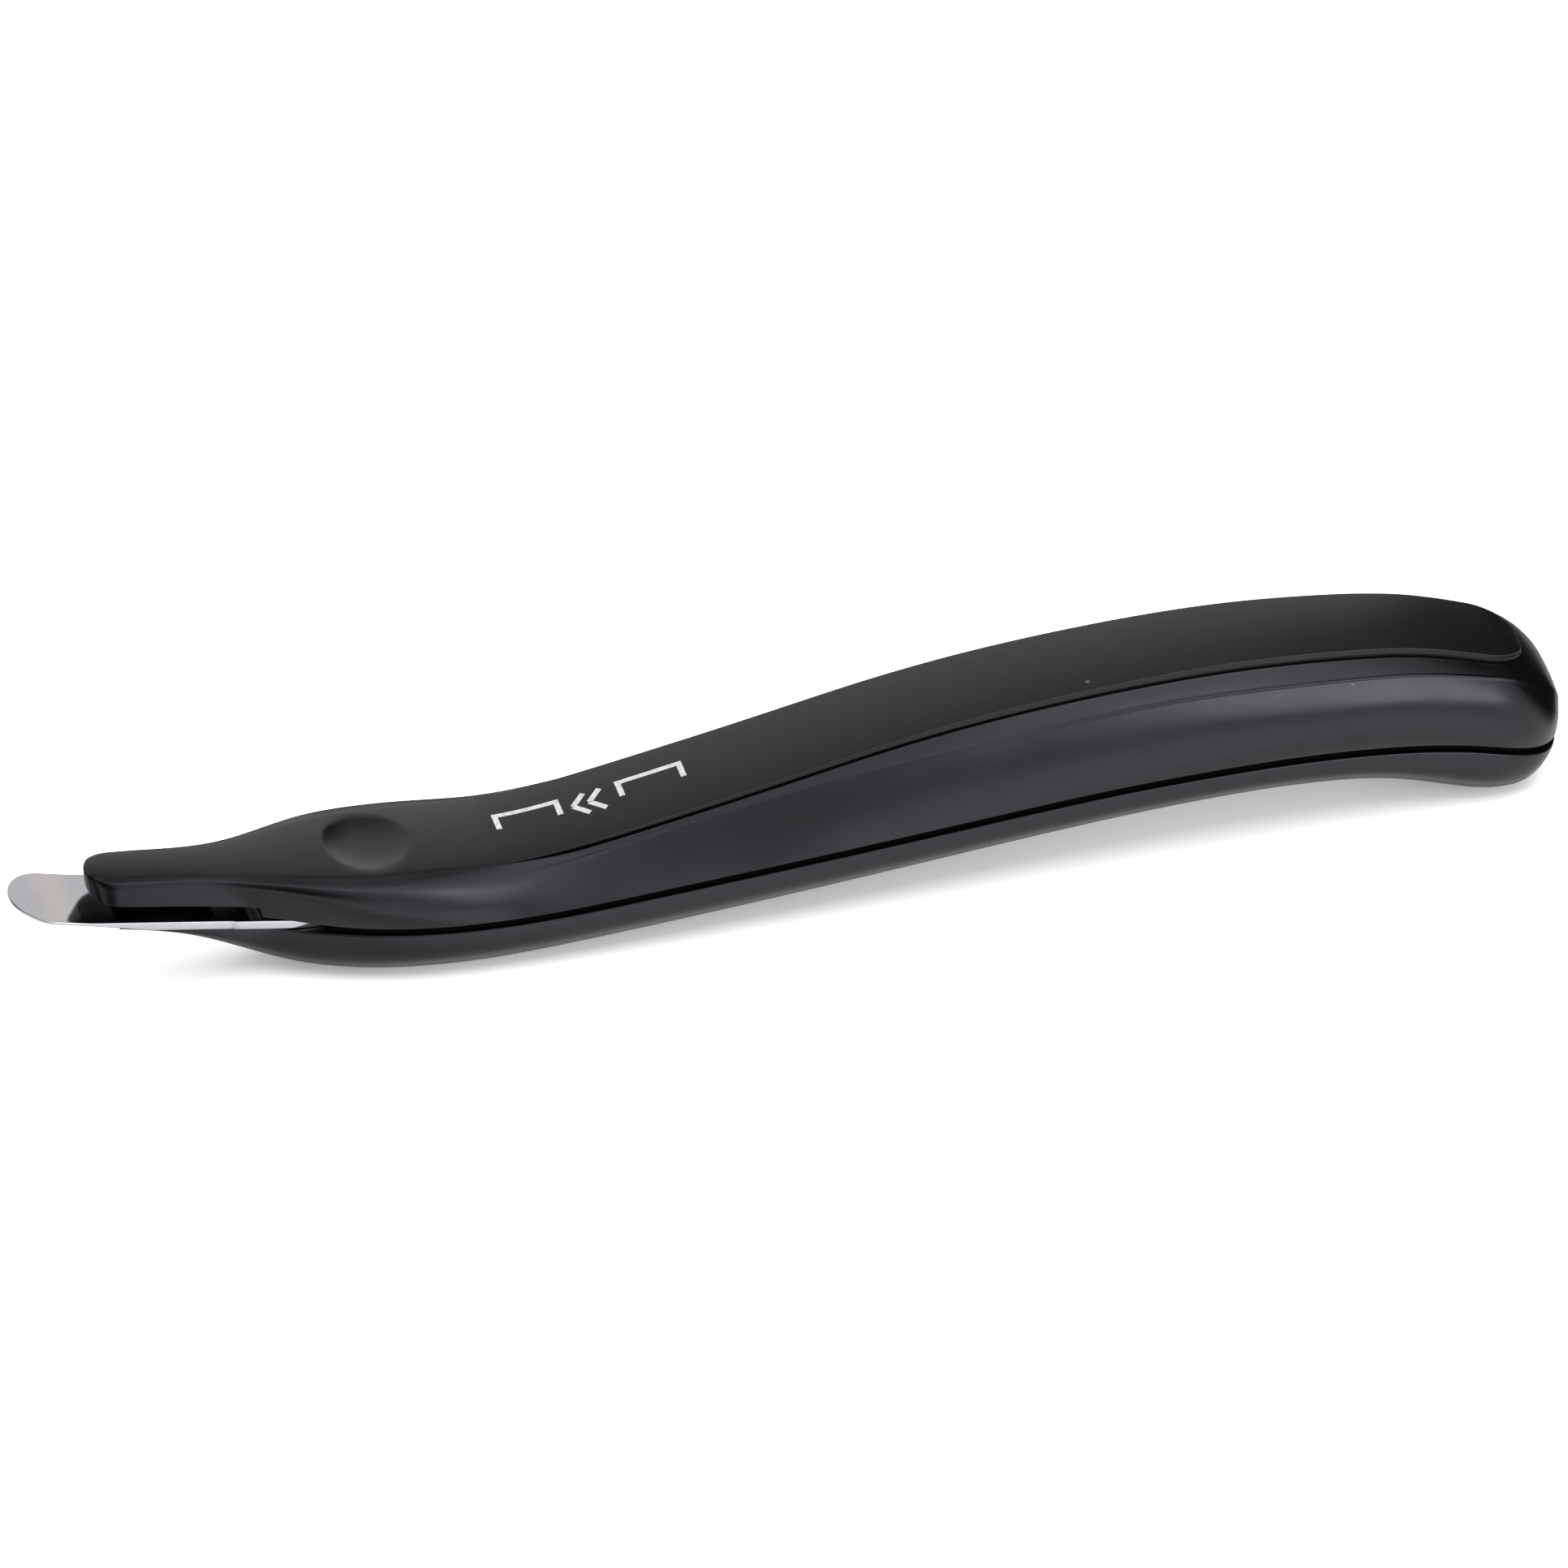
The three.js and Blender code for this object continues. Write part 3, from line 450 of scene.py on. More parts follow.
def rounded(start, inner, count):
    """Places that crowd together towards a rounded end at start."""
    turn = np.linspace(0, math.pi / 2, count)
    return inner + (start - inner) * np.cos(turn)


def point(y, z):
    """The (y, z) of one corner at every station."""
    return np.stack(np.broadcast_arrays(y, z), axis=-1).astype(float)


def section(corners, softness, bows, counts, corner_points, crowds=None):
    """Half a ring from the centre line below to the centre line above, with rounded corners.

    corners holds one (stations, 2) array for each corner, softness how far each corner's
    rounding reaches, bows how far the side after each corner bulges, and counts its points.
    crowds says which end of each side its points crowd towards: 1 its end, -1 its start, 0
    neither.
    """
    sides = []
    for i in range(len(corners) - 1):
        a, b = corners[i], corners[i + 1]
        run = b - a
        length = np.maximum(np.linalg.norm(run, axis=1), 1e-6)
        start = np.minimum(softness[i] / length, ROUNDING_LIMIT)
        end = 1 - np.minimum(softness[i + 1] / length, ROUNDING_LIMIT)
        share = np.linspace(0, 1, counts[i])
        crowd = crowds[i] if crowds else 0
        if crowd:
            share = 1 - (1 - share) ** CROWDING if crowd > 0 else share**CROWDING
        t = start[:, None] + (end - start)[:, None] * share[None, :]
        normal = np.stack([run[:, 1], -run[:, 0]], axis=1) / length[:, None]
        bulge = 4 * (np.zeros(len(a)) + bows[i])[:, None] * t * (1 - t)
        sides.append(a[:, None] + run[:, None] * t[..., None] + normal[:, None] * bulge[..., None])
    s = np.linspace(0, 1, corner_points + 2)[1:-1][None, :, None]
    half = [sides[0]]
    for i in range(1, len(sides)):
        before, corner, after = sides[i - 1][:, -1:], corners[i][:, None], sides[i][:, :1]
        half.append((1 - s) ** 2 * before + 2 * s * (1 - s) * corner + s * s * after)
        half.append(sides[i])
    return np.concatenate(half, axis=1)


def mirrored(half):
    """Whole rings from half rings that run from the centre line below to the one above."""
    other = half[:, -2:0:-1] * np.array([-1.0, 1.0])
    return np.concatenate([half, other], axis=1)


def box_rings(x, half_width, low, high):
    """Whole rings of a rectangle, for a flat layer or a cutting tool."""
    half_width, low, high = (value + 0 * x for value in (half_width, low, high))
    half = [point(0, low), point(half_width, low), point(half_width, high), point(0, high)]
    return mirrored(np.stack(half, axis=1))


def new_piece(name, vertices, faces):
    """A mesh object with merged points and faces that look outwards."""
    mesh = bpy.data.meshes.new(name)
    mesh.from_pydata(vertices, [], faces)
    piece = new_object(name, mesh)
    work = bmesh.new()
    work.from_mesh(mesh)
    bmesh.ops.remove_doubles(work, verts=work.verts, dist=1e-7)
    bmesh.ops.dissolve_degenerate(work, edges=work.edges, dist=1e-7)
    bmesh.ops.recalc_face_normals(work, faces=work.faces)
    work.to_mesh(mesh)
    work.free()
    return piece


def loft(name, x, rings, lean=tail_lean):
    """Skins rings of (y, z), one for each place x, and closes both ends."""
    stations, count = rings.shape[:2]
    y, z = rings[..., 0], rings[..., 1]
    along = x[:, None] + lean(x[:, None], z)
    points = np.stack([along, y, z], axis=-1)
    vertices = points.reshape(-1, 3).tolist()
    faces = []
    for s in range(stations - 1):
        for i in range(count):
            j = (i + 1) % count
            a, b = s * count, (s + 1) * count
            faces.append((a + i, b + i, b + j, a + j))
    for s in (0, stations - 1):
        hub = len(vertices)
        vertices.append(points[s].mean(axis=0).tolist())
        faces += [(hub, s * count + i, s * count + (i + 1) % count) for i in range(count)]
    return new_piece(name, [[c * MM for c in v] for v in vertices], faces)


def upper_section(x):
    """Half rings of the upper shell: side wall, shoulder, band, strip pocket or top."""
    scale = plan_rounding(x)
    seam = point(seam_half_width(x) * scale, seam_height(x) + half_gap(x))
    top_scale = top_rounding(x)
    shoulder = point(shoulder_half_width(x) * top_scale, shoulder_height(x))
    lowered = ease((x - SLOT_END_X) / SLOT_END_LENGTH + 0.5)
    underside = nose_roof(x) * (1 - lowered) + seam[:, 1] * lowered
    up = np.clip((underside - seam[:, 1]) / (shoulder[:, 1] - seam[:, 1]), 0, 0.9)
    foot = seam + (shoulder - seam) * up[:, None]

    edge_width = top_half_width(x) * top_scale
    edge_z = top_height(x) - strip_step(x)
    slope = (edge_z - shoulder[:, 1]) / np.maximum(shoulder[:, 0] - edge_width, 0.05)
    open_strip = (x > STRIP_FRONT_X + 0.01) & (x < STRIP_END_X + STRIP_GAP)
    opened = ease((x - STRIP_FRONT_X) / STRIP_GAP_START["length"])
    gap = STRIP_GAP * (STRIP_GAP_START["share"] + (1 - STRIP_GAP_START["share"]) * opened)
    wall = np.where(open_strip, strip_half_width(x) + gap, INNER_SHARE * edge_width)
    wall = np.maximum(wall, 0.02)
    ledge = LEDGE["width"] * ease((x - STRIP_FRONT_X + LEDGE["ahead"]) / LEDGE["length"])
    outer = np.where(open_strip, np.maximum(edge_width, wall + ledge), edge_width)
    drop = slope * (outer - edge_width)
    wall_drop = slope * np.maximum(wall - edge_width, 0)
    depth = np.where(open_strip, STRIP_POCKET_DEPTH, 0)
    corners = [
        point(0, foot[:, 1]), foot, shoulder, point(outer, edge_z - drop),
        point(wall, edge_z - wall_drop), point(wall * POCKET_DRAFT, edge_z - depth),
        point(0, edge_z - depth),
    ]
    soft = [0, SHELL_EDGE, shoulder_softness(x), edge_softness(x), SHELL_EDGE, POCKET_EDGE, 0]
    bows = [0, side_bow(x) * scale * (1 - up), band_bow(x) * scale, 0, 0, 0]
    half = section(corners, soft, bows, UPPER_POINTS, UPPER_CORNER_POINTS, crowds=(0, 1, -1, 0, 0, 0))

    raise_bead(x, half, shoulder, foot, corners[3])
    crown = (top_crown(x) * top_scale)[:, None]
    across = np.minimum(half[..., 0] / np.maximum(edge_width, 0.02)[:, None], 1)
    top_start = half.shape[1] - (3 * UPPER_CORNER_POINTS + sum(UPPER_POINTS[3:]))
    half[:, top_start:, 1] += (crown * (1 - across**2))[:, top_start:]
    return press_dimple(x, round_nose_top(x, half))


def raise_bead(x, half, shoulder, foot, edge):
    """Raises the fine bead that runs along the shoulder behind the middle."""
    side = shoulder - foot
    band = edge - shoulder
    along = side / np.linalg.norm(side, axis=1)[:, None] + band / np.linalg.norm(band, axis=1)[:, None]
    outward = np.stack([along[:, 1], -along[:, 0]], axis=1)
    outward /= np.linalg.norm(outward, axis=1)[:, None]
    begin = ease((x - BEAD["from"]) / BEAD["fade"])
    size = BEAD["height"] * begin * ease((BEAD["to"] - x) / BEAD["end_fade"])
    away = np.linalg.norm(half - shoulder[:, None], axis=2)
    lift = size[:, None] * np.exp(-((away / BEAD["width"]) ** 2))
    half += lift[..., None] * outward[:, None]


def round_nose_top(x, half):
    """Rounds the nose's front edge over, from above."""
    near = np.clip(1 - (x - NOSE_FRONT_X) / NOSE_TOP_FILLET, 0, 1)
    drop = NOSE_TOP_FILLET * (1 - np.sqrt(1 - near**2))
    low = shoulder_height(x) - NOSE_TOP_REACH
    share = np.clip((half[..., 1] - low[:, None]) / (top_height(x) - low)[:, None], 0, 1)
    half[..., 1] -= drop[:, None] * share
    return half


def press_dimple(x, half):
    """Presses the finger dimple, part of a flattened ball with a soft lip, into the top."""
    radius = (DIMPLE["half_length"] ** 2 + DIMPLE["depth"] ** 2) / (2 * DIMPLE["depth"])
    wide = DIMPLE["half_width"] / DIMPLE["half_length"]
    centre = float(top_height(DIMPLE["x"]) + top_crown(DIMPLE["x"])) + radius - DIMPLE["depth"]
    inside = radius**2 - (x[:, None] - DIMPLE["x"]) ** 2 - (half[..., 0] / wide) ** 2
    ball = centre - np.sqrt(np.maximum(inside, 0))
    z = half[..., 1]
    lip = DIMPLE["lip"]
    mix = np.clip(0.5 + 0.5 * (ball - z) / lip, 0, 1)
    pressed = ball * (1 - mix) + z * mix - lip * mix * (1 - mix)
    half[..., 1] = np.where((inside > 0) & (z > centre - radius - 1), pressed, z)
    return half


def lower_section(x):
    """Half rings of the lower shell: a flat rim with a fine rounded edge over a squarish bowl."""
    width = seam_half_width(x) * plan_rounding(x)
    rim = seam_height(x) - half_gap(x)
    depth = np.maximum(rim - bottom_height(x), 0.25)
    turn = np.linspace(0, math.pi / 2, LOWER_POINTS + 1)[1:]
    power = 2 / LOWER_FULLNESS
    y = width[:, None] * np.cos(turn)[None, :] ** power
    z = rim[:, None] - depth[:, None] * np.sin(turn)[None, :] ** power
    y[:, -1] = 0
    edge = np.minimum(np.minimum(LOWER_EDGE, depth * 0.1), width * 0.08)
    rim_points = []
    for share in np.linspace(0, 1, 5):
        angle = share * math.pi / 2
        rim_points.append(point(width - edge * (1 - math.sin(angle)), rim - edge * (1 - math.cos(angle))))
    flat = [point(width * share, rim) for share in (0, 0.3, 0.6, 0.9)]
    half = np.concatenate([np.stack(flat + rim_points, axis=1), np.stack([y, z], axis=-1)], axis=1)
    # nothing is below the table: the belly and the tail bump stand on small flats
    half[..., 1] = np.maximum(half[..., 1], 0)
    return half


def strip_section(x):
    """Half rings of the strip: floor, side, a fine lip along the edge and a crowned top."""
    half_width = np.maximum(strip_half_width(x), 0.02)
    full = np.maximum(top_half_width(x), 0.1)
    end_round = np.clip(1 - (STRIP_END_X - x) / STRIP_EDGE, 0, 1)
    top = top_height(x) - STRIP_EDGE * (1 - np.sqrt(1 - end_round**2))
    floor = top_height(x) - strip_step(x) - STRIP_POCKET_DEPTH + CLEARANCE
    lip = STRIP_LIP["width"] * ease((x - STRIP_LIP["from"]) / STRIP_LIP["length"])
    drop = np.minimum(STRIP_LIP["drop"], STRIP_LIP["step_share"] * (strip_step(x) + STRIP_INSET))
    inner = np.maximum(half_width - lip, 0.01)
    corners = [
        point(0, floor), point(half_width, floor),
        point(half_width, top - drop - lip * STRIP_LIP["slant"]),
        point(inner, top - drop), point(inner, top), point(0, top),
    ]
    flat = [0] * len(STRIP_POINTS)
    half = section(corners, STRIP_SOFTNESS, flat, STRIP_POINTS, STRIP_CORNER_POINTS)
    across = np.minimum(half[..., 0] / full[:, None], 1)
    share = np.minimum(half_width / full + 0.1, 1)
    half[..., 1] += top_crown(x)[:, None] * (1 - across**2) * share[:, None]
    return half


def blade_section(x):
    """Half rings of the blade: a flat bar with soft edges, rolled over at the tip."""
    full = np.where(x < TANG_SHOULDER_X, BLADE_HALF_WIDTH, TANG_HALF_WIDTH)
    half_width = full * round_off(x - BLADE_TIP_X + END_OPENING, TIP_ROUND, TIP_FULLNESS)
    tip = np.clip(1 - (x - BLADE_TIP_X) / TIP_ROLL["length"], 0, 1)
    rolled = TIP_ROLL["height"] * (1 - np.sqrt(1 - tip**2))
    high = blade_top(x) - rolled
    low = blade_top(x) - blade_thickness(x) + rolled
    corners = [point(0, low), point(half_width, low), point(half_width, high), point(0, high)]
    soft = [0, BLADE_EDGE, BLADE_EDGE, 0]
    return section(corners, soft, [0, 0, 0], BLADE_POINTS, BLADE_CORNER_POINTS)


def boolean(piece, tool, operation):
    """Cuts the tool from the piece, or joins it on, and removes the tool."""
    modifier = piece.modifiers.new("shape", "BOOLEAN")
    modifier.operation = operation
    modifier.solver = "MANIFOLD"
    modifier.object = tool
    evaluated = piece.evaluated_get(bpy.context.evaluated_depsgraph_get())
    shaped = bpy.data.meshes.new_from_object(evaluated)
    piece.modifiers.clear()
    before = piece.data
    piece.data = shaped
    bpy.data.meshes.remove(before)
    bpy.data.objects.remove(tool)
    return piece


def cut(piece, tool):
    return boolean(piece, tool, "DIFFERENCE")


def join(piece, tool):
    return boolean(piece, tool, "UNION")


def turned(name, profile, x, foot=0.0, pitch=0.0):
    """A solid of revolution from its (radius, height) pairs, at x and height foot, leaning by pitch."""
    sides = TURNED_SIDES
    angles = np.linspace(0, 2 * math.pi, sides, endpoint=False)
    vertices = []
    for radius, height in profile:
        for angle in angles:
            ahead = radius * math.cos(angle)
            place_x = x + ahead * math.cos(pitch) + height * math.sin(pitch)
            place_z = foot - ahead * math.sin(pitch) + height * math.cos(pitch)
            vertices.append([place_x * MM, radius * math.sin(angle) * MM, place_z * MM])
    faces = []
    for s in range(len(profile) - 1):
        for i in range(sides):
            j = (i + 1) % sides
            faces.append((s * sides + i, s * sides + j, (s + 1) * sides + j, (s + 1) * sides + i))
    return new_piece(name, vertices, faces)


def upper_cavity():
    """The hollow inside of the upper shell."""
    size = UPPER_CAVITY
    x = places((CAVITY_FRONT_X, CAVITY_END_X, 3))
    scale = plan_rounding(x)
    foot = seam_height(x) - size["below_seam"]
    middle = shoulder_height(x) - size["below_shoulder"]
    roof = top_height(x) - strip_step(x) - STRIP_POCKET_DEPTH - ROOF_WALL
    foot_half = seam_half_width(x) * scale - SIDE_WALL - size["foot_inset"]
    middle_half = shoulder_half_width(x) * scale - ROOF_WALL
    roof_half = top_half_width(x) * scale - ROOF_WALL
    half = [point(0, foot), point(foot_half, foot), point(middle_half, middle), point(roof_half, roof)]
    half.append(point(0, roof))
    return loft("upper_cavity", x, mirrored(np.stack(half, axis=1)))


def lower_cavity():
    """The hollow inside of the lower shell."""
    size = LOWER_CAVITY
    x = places((CAVITY_FRONT_X, CAVITY_END_X, 3))
    half_width = seam_half_width(x) * plan_rounding(x) - SIDE_WALL
    floor = np.maximum(bottom_height(x), 0) + FLOOR_WALL
    seam = seam_height(x)
    knee = floor + (seam - floor) * size["knee_height"]
    high = seam + size["above_seam"]
    half = [point(0, floor), point(half_width * size["floor_share"], floor)]
    half += [point(half_width - size["knee_inset"], knee), point(half_width, high), point(0, high)]
    return loft("lower_cavity", x, mirrored(np.stack(half, axis=1)))


def tang_space(grow=CLEARANCE):
    """The room the blade takes, with a clearance all round, from the nose to behind the tang."""
    x = places((TANG_SPACE_FRONT_X, TANG_END_X + grow, 4))
    low = blade_top(x) - blade_thickness(x) - grow
    high = blade_top(x) + grow
    return loft("tang_space", x, box_rings(x, TANG_HALF_WIDTH + grow, low, high), no_lean)


def magnet_pocket():
    """The pocket in the roof of the staple slot that holds the magnet and its cover."""
    size = MAGNET_POCKET
    x = places((-size["length"] / 2, size["length"] / 2, size["length"]))
    rings = box_rings(x, size["width"] / 2, -size["overshoot"], size["height"])
    pocket = loft("magnet_pocket", x, rings, no_lean)
    seat = Matrix.Translation(Vector((size["x"], 0, float(nose_roof(size["x"])))) * MM)
    pocket.data.transform(seat @ Matrix.Rotation(BLADE_PITCH, 4, "Y"))
    return pocket


def make_upper_shell():
    # stations lie closer at the slot's end, round the dimple and at the strip's end
    x = gathered(
        rounded(NOSE_FRONT_X, NOSE_FRONT_X + NOSE_ROUND, 44),
        places((NOSE_FRONT_X + NOSE_ROUND, -60, 0.4), (-60, -58.2, 0.09), (-58.2, -52, 0.3)),
        places((-52, -39, 0.2), (-39, STRIP_FRONT_X, 0.4)),
        places((STRIP_FRONT_X + 0.02, TAIL_END_X - TAIL_ROUND, 0.8)),
        places((TAIL_END_X - TAIL_ROUND, 80.6, 0.15), (80.6, 81.3, 0.03), (81.3, 84, 0.15)),
        rounded(TAIL_END_X, 84, 30),
    )
    shell = loft("upper_shell_skin", x, mirrored(upper_section(x)), upper_lean)
    cut(shell, upper_cavity())
    for place in CASE_SCREW_X:
        top = float(top_height(place) - strip_step(place)) - STRIP_POCKET_DEPTH - BOSS_ROOF_GAP
        foot = float(seam_height(place)) + BOSS_FLOOR
        boss = [(0, foot), (BOSS_RADIUS, foot), (BOSS_RADIUS, top), (0, top)]
        low, high = foot - OVERSHOOT, top - CASE_SCREW_GAP
        pilot = [(0, low), (PILOT_RADIUS, low), (PILOT_RADIUS, high), (0, high)]
        join(shell, turned("boss", boss, place))
        cut(shell, turned("pilot", pilot, place))
    cut(shell, magnet_pocket())
    return cut(shell, tang_space())


def make_lower_shell():
    x = gathered(
        places((LOWER_FRONT_X, -34, 0.4), (-34, TAIL_END_X - TAIL_ROUND, 0.6)),
        places((TAIL_END_X - TAIL_ROUND, 83.6, 0.25)),
        rounded(TAIL_END_X, 83.6, 30),
    )
    shell = loft("lower_shell_skin", x, mirrored(lower_section(x)))
    cut(shell, lower_cavity())
    for place in BLADE_SCREW_X:
        under = float(blade_top(place))
        foot = BOSS_FLOOR - under
        boss = [(0, foot), (BOSS_RADIUS, foot), (BOSS_RADIUS, 0), (0, 0)]
        join(shell, turned("boss", boss, place, under, BLADE_PITCH))
    cut(shell, tang_space())
    for place in BLADE_SCREW_X:
        low = -BLADE_SCREW_BORE
        bore = [(0, low), (PILOT_RADIUS, low), (PILOT_RADIUS, OVERSHOOT), (0, OVERSHOOT)]
        cut(shell, turned("bore", bore, place, float(blade_top(place)), BLADE_PITCH))
    for place in CASE_SCREW_X:
        floor = float(bottom_height(place))
        seat = floor + HEAD_WELL["depth"]
        top = float(seam_height(place)) - CASE_SCREW_GAP
        radius = HEAD_WELL["radius"]
        wide = radius + HEAD_WELL["wall"]
        foot, shelf, bevel = floor + BOSS_FLOOR, seat + HEAD_WELL["seat"], HEAD_WELL["bevel"]
        boss = [
            (0, foot), (wide, foot), (wide, shelf), (BOSS_RADIUS, shelf + bevel), (BOSS_RADIUS, top),
            (0, top),
        ]
        well = [
            (0, -OVERSHOOT), (radius + OVERSHOOT, -OVERSHOOT),
            (radius + HEAD_WELL["chamfer"], floor - HEAD_WELL["rim"]), (radius, floor + bevel),
            (radius, seat), (PILOT_RADIUS, seat), (PILOT_RADIUS, top + OVERSHOOT), (0, top + OVERSHOOT),
        ]
        join(shell, turned("boss", boss, place))
        cut(shell, turned("well", well, place))
    return shell


def seam_layer(name, inset, below, above, start, end):
    """A flat layer that follows the seam, set in from the shells' outline and rounded end."""
    inner = end - FRAME_END_LENGTH
    x = gathered(places((start, inner, 1)), rounded(end, inner, 30))
    outline = seam_half_width(x) * plan_rounding(np.minimum(x + inset * 0.8, TAIL_END_X))
    half_width = np.maximum(outline - inset, 0.4)
    return loft(name, x, box_rings(x, half_width, seam_height(x) + below, seam_height(x) + above))


def frame_window():
    """The room between the tang's sides that the seam frame leaves to the screws."""
    x = places((FRAME_WINDOW["from"], FRAME_WINDOW["to"], 3))
    rings = box_rings(x, TANG_HALF_WIDTH + FRAME_CLEARANCE, 0, FRAME_WINDOW["top"])
    return loft("frame_window", x, rings, no_lean)


def make_seam_frame():
    plate = FRAME_PLATE
    half = plate["height"] / 2
    frame_piece = seam_layer("seam_frame_skin", plate["inset"], -half, half, plate["from"], plate["to"])
    rib = FRAME_RIB
    outside = seam_layer("outside", rib["inset"], -rib["below"], rib["above"], rib["from"], rib["to"])
    inset = rib["inset"] + rib["thickness"]
    start, end = rib["from"] + rib["end_thickness"], rib["to"] - rib["end_thickness"]
    inside = seam_layer("inside", inset, -rib["cut"], rib["cut"], start, end)
    join(frame_piece, outside)
    cut(frame_piece, inside)
    cut(frame_piece, frame_window())
    return cut(frame_piece, tang_space(FRAME_CLEARANCE))


def make_strip():
    x = gathered(
        places((STRIP_FRONT_X, STRIP_END_X - STRIP_END_ROUND, 0.5)),
        rounded(STRIP_END_X, STRIP_END_X - STRIP_END_ROUND, 60),
    )
    return loft("top_strip_skin", x, mirrored(strip_section(x)))


def make_blade():
    x = gathered(
        rounded(BLADE_TIP_X, BLADE_TIP_X + TIP_ROUND, 70),
        places((BLADE_TIP_X + TIP_ROUND, -76, 0.15), (-76, TANG_SHOULDER_X - 0.3, 0.5)),
        places((TANG_SHOULDER_X - 0.3, TANG_SHOULDER_X, 0.3), (TANG_SHOULDER_X, TANG_END_X, 1)),
    )
    blade = loft("blade_skin", x, mirrored(blade_section(x)), no_lean)
    for place in BLADE_SCREW_X:
        low, high = BLADE_HOLE_SPAN
        hole = [(0, low), (PILOT_RADIUS, low), (PILOT_RADIUS, high), (0, high)]
        cut(blade, turned("hole", hole, place, float(blade_top(place)), BLADE_PITCH))
    return blade


def top_of_strip(x, y):
    """The height of the strip's crowned top."""
    across = np.minimum(np.abs(y) / top_half_width(x), 1)
    return top_height(x) + top_crown(x) * (1 - across**2)


def printed_stroke(work, start, end):
    """Adds one thin flat bar that follows the strip's top, from start to end, each (x, y)."""
    run = np.array(end, float) - np.array(start, float)
    length = np.linalg.norm(run)
    ahead = run / length
    aside = np.array([-ahead[1], ahead[0]])
    steps = max(int(length / PRINT_STEP), 2)
    rows = []
    for share in np.linspace(0, 1, steps + 1):
        row = []
        for side in (-0.5, 0, 0.5):
            x, y = np.array(start) + run * share + aside * side * PRINT["stroke"]
            high = float(top_of_strip(x, y)) + PRINT_PROUD
            row.append([work.verts.new((x * MM, y * MM, z * MM)) for z in (high, high - PRINT_DEPTH)])
        rows.append(row)
    for a, b in zip(rows, rows[1:]):
        for i in (0, 1):
            work.faces.new((a[i][0], b[i][0], b[i + 1][0], a[i + 1][0]))
            work.faces.new((a[i][1], a[i + 1][1], b[i + 1][1], b[i][1]))
        work.faces.new((a[0][0], a[0][1], b[0][1], b[0][0]))
        work.faces.new((a[2][0], b[2][0], b[2][1], a[2][1]))
    for row in (rows[0], rows[-1]):
        for i in (0, 1):
            work.faces.new((row[i][0], row[i + 1][0], row[i + 1][1], row[i][1]))


def make_print():
    """Generic marks in place of the printed word: staple outlines and arrows towards the blade."""
    work = bmesh.new()
    half = PRINT["height"] / 2
    edge = PRINT["stroke"] / 2
    for left in PRINT["staples_at"]:
        right = left + PRINT["staple_length"]
        printed_stroke(work, (left, half), (right, half))
        for x in (left + edge, right - edge):
            printed_stroke(work, (x, half - edge), (x, half - PRINT["leg"]))
    for tip in PRINT["arrows_at"]:
        for side in (1, -1):
            printed_stroke(work, (tip, 0), (tip + PRINT["arrow_length"], side * half))
    bmesh.ops.recalc_face_normals(work, faces=work.faces)
    mesh = bpy.data.meshes.new("print_marks")
    work.to_mesh(mesh)
    work.free()
    return new_object("print_marks", mesh)


# ---------- materials ----------
def darker(color, share):
    return tuple(share * c for c in color)


class Nodes:
    """A node tree, with short ways to add to it."""

    def __init__(self, tree):
        self.tree = tree

    def node(self, kind, **settings):
        made = self.tree.nodes.new(kind)
        for key, value in settings.items():
            setattr(made, key, value)
        return made

    def link(self, source, target):
        self.tree.links.new(source, target)

    def ranged(self, value, low, high, to_low, to_high):
        """Maps value from low to high softly on to the range from to_low to to_high."""
        mapped = self.node("ShaderNodeMapRange", interpolation_type="SMOOTHSTEP")
        limits = {"From Min": low, "From Max": high, "To Min": to_low, "To Max": to_high}
        for socket, limit in limits.items():
            mapped.inputs[socket].default_value = limit
        self.link(value, mapped.inputs["Value"])
        return mapped.outputs["Result"]


